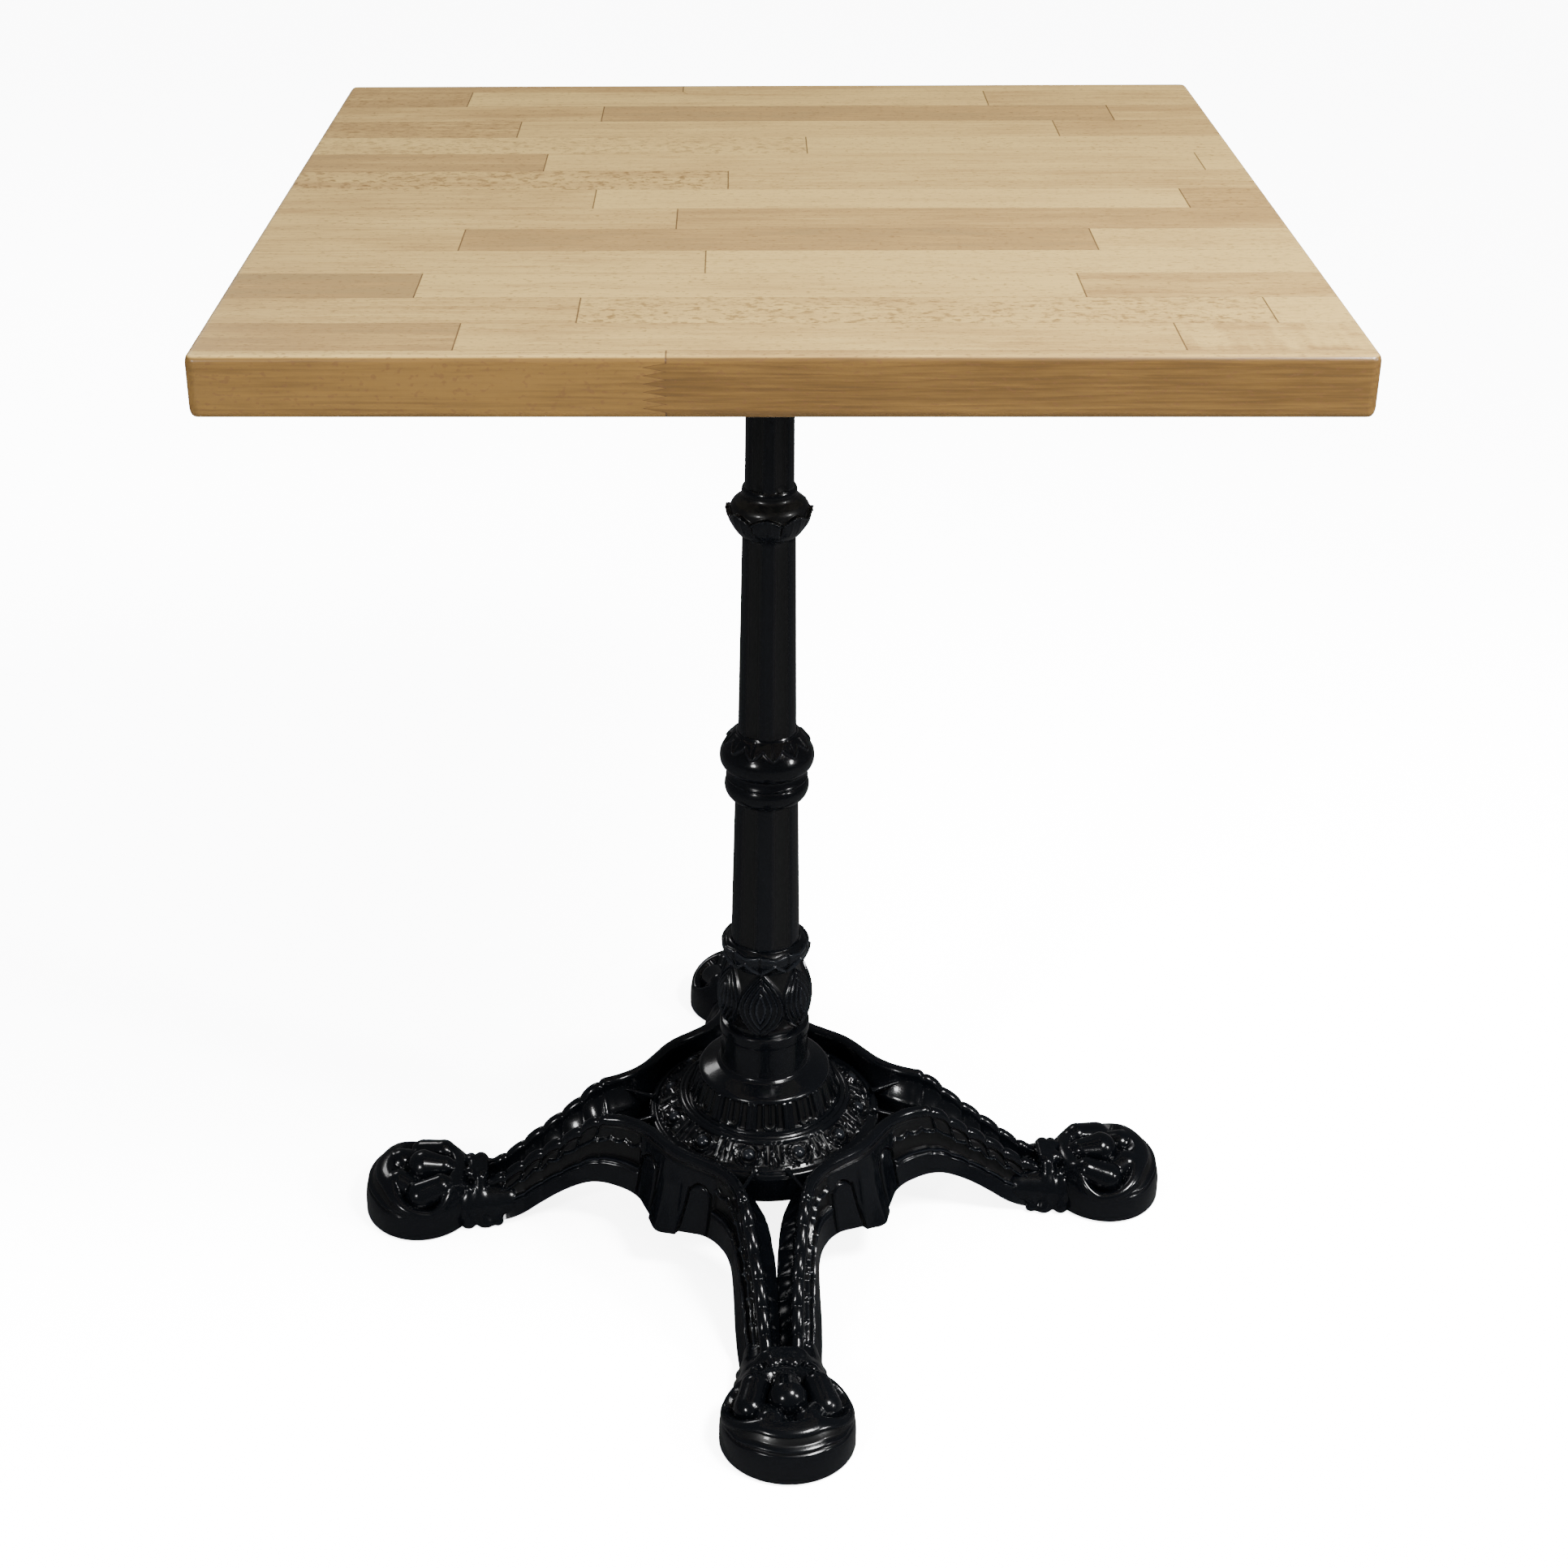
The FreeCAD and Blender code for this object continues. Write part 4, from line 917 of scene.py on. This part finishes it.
def neckDistance(p):
    # a rounded block and drops on a low saddle
    middle, half, rounding = neck["block"]
    beyond = np.abs(p - np.array(middle)) - (np.array(half) - rounding)
    whole = np.linalg.norm(np.maximum(beyond, 0), axis=-1) + np.minimum(beyond.max(-1), 0) - rounding
    return softUnion(2.6, whole, *dropDistances(p, neck["drops"]))


def lumpShell(distance, lump):
    # Rays from the centre, from a little below level to straight up; each walks in from outside
    # until the distance function says that it has met the surface. Rings of (radius, height) round
    # the stud's axis close the underside.
    tilt = np.radians(np.linspace(lump["lowest"], 89.3, lump["rows"]))[:, None]
    turn = np.arange(lump["columns"]) * 2 * np.pi / lump["columns"]
    rays = np.stack([np.cos(tilt) * np.cos(turn), np.cos(tilt) * np.sin(turn), np.sin(tilt) + 0 * turn], -1)
    far = np.full(rays.shape[:2], lump["reach"])
    for _ in range(90):
        far = np.maximum(far - 0.7 * distance(lump["centre"] + rays * far[..., None]), 0.5)
    points = lump["centre"] + rays * far[..., None]
    points[..., 2] = np.maximum(points[..., 2], paw["sole"])
    rings = [[np.stack([legReach + r * np.cos(turn), r * np.sin(turn), z + 0 * turn], -1)]
             for r, z in lump["underside"]]
    points = np.concatenate([*rings, points])
    return points.reshape(-1, 3), gridFaces(len(points), lump["columns"])


def toeGroove(points):
    # beads and a step round the toe, parallel to the rim, that fade out at the sides
    shifted = points.copy()
    fromMiddle = points - [legReach, 0.0, 0.0]
    rim, turn = rimHeight(points)
    fade = 1 - smoothStep(turn, 42.0, 80.0)
    height = points[:, 2] - rim
    push = sum(tall * hump(height - below * (0.35 + 0.65 * fade), half)
               for below, tall, half in paw["lines"])
    foot, footEnd, head, headEnd = paw["step"]
    stepped = smoothStep(height, -foot, -footEnd) * (1 - smoothStep(height, -head, -headEnd))
    push = push - paw["stepDepth"] * stepped
    outside = np.hypot(fromMiddle[:, 0] / 30.0, fromMiddle[:, 1] / 34.0) > 1.0
    push = push * fade * outside
    direction = fromMiddle[:, :2] / (np.linalg.norm(fromMiddle[:, :2], axis=1)[:, None] + 1e-9)
    shifted[:, :2] += direction * push[:, None]
    return shifted, push


pawPoints, pawFaces = lumpShell(pawDistance, paw)
pawPoints, pawRelief = toeGroove(pawPoints)
neckPoints, neckFaces = lumpShell(neckDistance, neck)
onEachLeg({"paw": [(pawPoints, pawFaces, {"relief": pawRelief})],
           "pawNeck": [(neckPoints, neckFaces, {"relief": np.zeros(len(neckPoints))})]}, 60.0)
print("paws done")

# The steel and plastic parts stay as the CAD made them. Zinc-plated steel: a cool bright grey with
# a faint yellowish cloud and fine drawn scratches. Moulded nylon glides: black, evenly matt, with a
# little sparkle from the mould.
fittings = {
    "cloud": 14.0,           # mm across a cloud in the finish
    # name: first and second colour, metallic, roughness, mm of the grain
    "zincPlatedSteel": ("#B9BDBF", "#A9A58F", 1.0, 0.32, 0.5),
    "mouldedBlackNylon": ("#17181A", "#2A2B2D", 0.0, 0.5, 0.7),
}


def fittingMaterial(name):
    first, second, metallic, roughness, grain = fittings[name]
    material, shader, add = newMaterial(name)
    place = add("TexCoord").outputs["Object"]
    cloud = add("TexNoise", None, {"Vector": place, "Scale": 1000.0 / fittings["cloud"], "Detail": 3.0})
    fine = add("TexNoise", None, {"Vector": place, "Scale": 1000.0 / grain, "Detail": 2.0})
    colour = add("Mix", colourMix, {0: cloud, 6: hexColour(first), 7: hexColour(second)})
    rough = add("Math", "MULTIPLY_ADD", (cloud, 0.2, roughness - 0.1))
    bump = add("Bump", None, {"Height": fine, "Strength": 0.3, "Distance": 0.0001})
    feedShader(shader, {"Base Color": colour, "Roughness": rough, "Normal": bump})
    shader.inputs["Metallic"].default_value = metallic
    return material


zincSteel, nylon = fittingMaterial("zincPlatedSteel"), fittingMaterial("mouldedBlackNylon")
steelNames = ("cross_screws", "tie_rod", "stud")
for name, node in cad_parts.items():
    finish = (nylon if name.startswith("glide") else mouldEnamel if name == "top_cross"
              else zincSteel if name.startswith(steelNames) else None)
    if finish is None:
        continue
    if not node.material_slots:
        node.data.materials.append(finish)
    for place in node.material_slots:
        place.material = finish
print("fittings done")

# floor, light and camera; brighter or dimmer here means for rays from the camera or off a gloss
studio = {
    "floor": "#F4F4F4", "floorSize": 60000.0, "room": "#EDEEF0", "roomStrength": 0.82,
    "reflectionDimming": 0.9, "seenBrighter": 7.5, "seenGlow": 5.0,
    # name: place in mm, aimed at, width and height in mm, watts
    "lamps": {
        "windowBehind": ((-1500.0, 2400.0, 2100.0), (0, 0, 500.0), (700.0, 500.0), 8.0),
        "ceiling": ((800.0, -700.0, 1700.0), (0, 0, 500.0), (400.0, 400.0), 33.0),
        "frontFill": ((-1500.0, -2200.0, 1700.0), (0, 0, 350.0), (380.0, 320.0), 25.0),
        "sideGlint": ((2300.0, -1100.0, 1600.0), (0, 0, 250.0), (220.0, 300.0), 22.0),
    },
    "cameraPlace": (-21.8, -1455.8, 1155.2), "yaw": -1.53, "pitch": 26.54, "roll": -0.53,
    "focal": 2988.7, "imageSide": 1932.0, "middle": (834.4, 842.1), "sensor": 36.0,
}


def makeStudio():
    floorMaterial, shader, add = newMaterial("paleFloor", 0.1)
    place = add("TexCoord").outputs["Object"]
    cloud = add("TexNoise", None, {"Vector": place, "Scale": 3.0, "Detail": 2.0})
    feedShader(shader, {"Roughness": add("MapRange", None, {0: cloud, 3: 0.85, 4: 0.95})})
    shader.inputs["Base Color"].default_value = hexColour(studio["floor"])
    # the floor is dimmer in mirror-like reflections, as in a room with a small pale floor
    ray = add("LightPath").outputs
    share = add("Math", "MULTIPLY", (ray["Is Glossy Ray"], studio["reflectionDimming"]))
    mixed = add("MixShader", None, (share, shader, add("Emission", None, {"Strength": 0.0})))
    # seen straight on it is white, and only the darkest of its shadows show
    bright = add("CombineXYZ", None, (studio["seenBrighter"],) * 3)
    glow = add("Emission", None, {"Strength": studio["seenGlow"]})
    white = add("AddShader", None, (add("BsdfDiffuse", None, {"Color": bright}), glow))
    seen = add("MixShader", None, (ray["Is Camera Ray"], mixed, white))
    feedShader(floorMaterial.node_tree.nodes["Material Output"], {"Surface": seen})
    half = studio["floorSize"] * millimetre / 2
    mesh = bpy.data.meshes.new("floor")
    corners = [(-half, -half, 0), (half, -half, 0), (half, half, 0), (-half, half, 0)]
    mesh.from_pydata(corners, [], [(0, 1, 2, 3)])
    mesh.materials.append(floorMaterial)
    floor = bpy.data.objects.new("floor", mesh)
    bpy.context.scene.collection.objects.link(floor)
    world = bpy.data.worlds.new("room")
    world.use_nodes = True
    background = world.node_tree.nodes["Background"]
    background.inputs["Color"].default_value = hexColour(studio["room"])
    add = partial(addNode, world.node_tree)
    ray, strength = add("LightPath").outputs, studio["roomStrength"]
    for rays, change in (("Is Glossy Ray", -studio["roomStrength"] * studio["reflectionDimming"]),
                         ("Is Camera Ray", studio["roomStrength"] * (studio["seenBrighter"] - 1)
                          + studio["seenGlow"])):
        strength = add("Math", "MULTIPLY_ADD", (ray[rays], change, strength))
    feedShader(background, {"Strength": strength})
    bpy.context.scene.world = world
    for name, (place, aim, size, power) in studio["lamps"].items():
        lamp = bpy.data.lights.new(name, "AREA")
        lamp.shape = "RECTANGLE"
        lamp.size, lamp.size_y = size[0] * millimetre, size[1] * millimetre
        lamp.energy = power
        holder = bpy.data.objects.new(name, lamp)
        place, aim = Vector(place) * millimetre, Vector(aim) * millimetre
        holder.location = place
        holder.rotation_euler = (aim - place).to_track_quat("-Z", "Y").to_euler()
        bpy.context.scene.collection.objects.link(holder)


def makeCamera():
    # the camera looks along yaw and pitch, then rolls about its own line of sight
    yaw, pitch, roll = (math.radians(studio[key]) for key in ("yaw", "pitch", "roll"))
    forward = Vector((math.sin(yaw) * math.cos(pitch), math.cos(yaw) * math.cos(pitch), -math.sin(pitch)))
    right = Vector((math.cos(yaw), -math.sin(yaw), 0))
    up = right.cross(forward)
    right, up = right * math.cos(roll) + up * math.sin(roll), up * math.cos(roll) - right * math.sin(roll)
    camera = bpy.data.objects.new("camera", bpy.data.cameras.new("camera"))
    bpy.context.scene.collection.objects.link(camera)
    turn = Matrix((right, up, -forward)).transposed().to_4x4()
    camera.matrix_world = Matrix.Translation(Vector(studio["cameraPlace"]) * millimetre) @ turn
    side = studio["imageSide"]
    camera.data.sensor_width = studio["sensor"]
    camera.data.lens = studio["focal"] * studio["sensor"] / side
    camera.data.shift_x = (side / 2 - studio["middle"][0]) / side
    camera.data.shift_y = (studio["middle"][1] - side / 2) / side
    camera.data.clip_end = 200.0
    bpy.context.scene.camera = camera


makeStudio()
makeCamera()
bpy.context.view_layer.update()
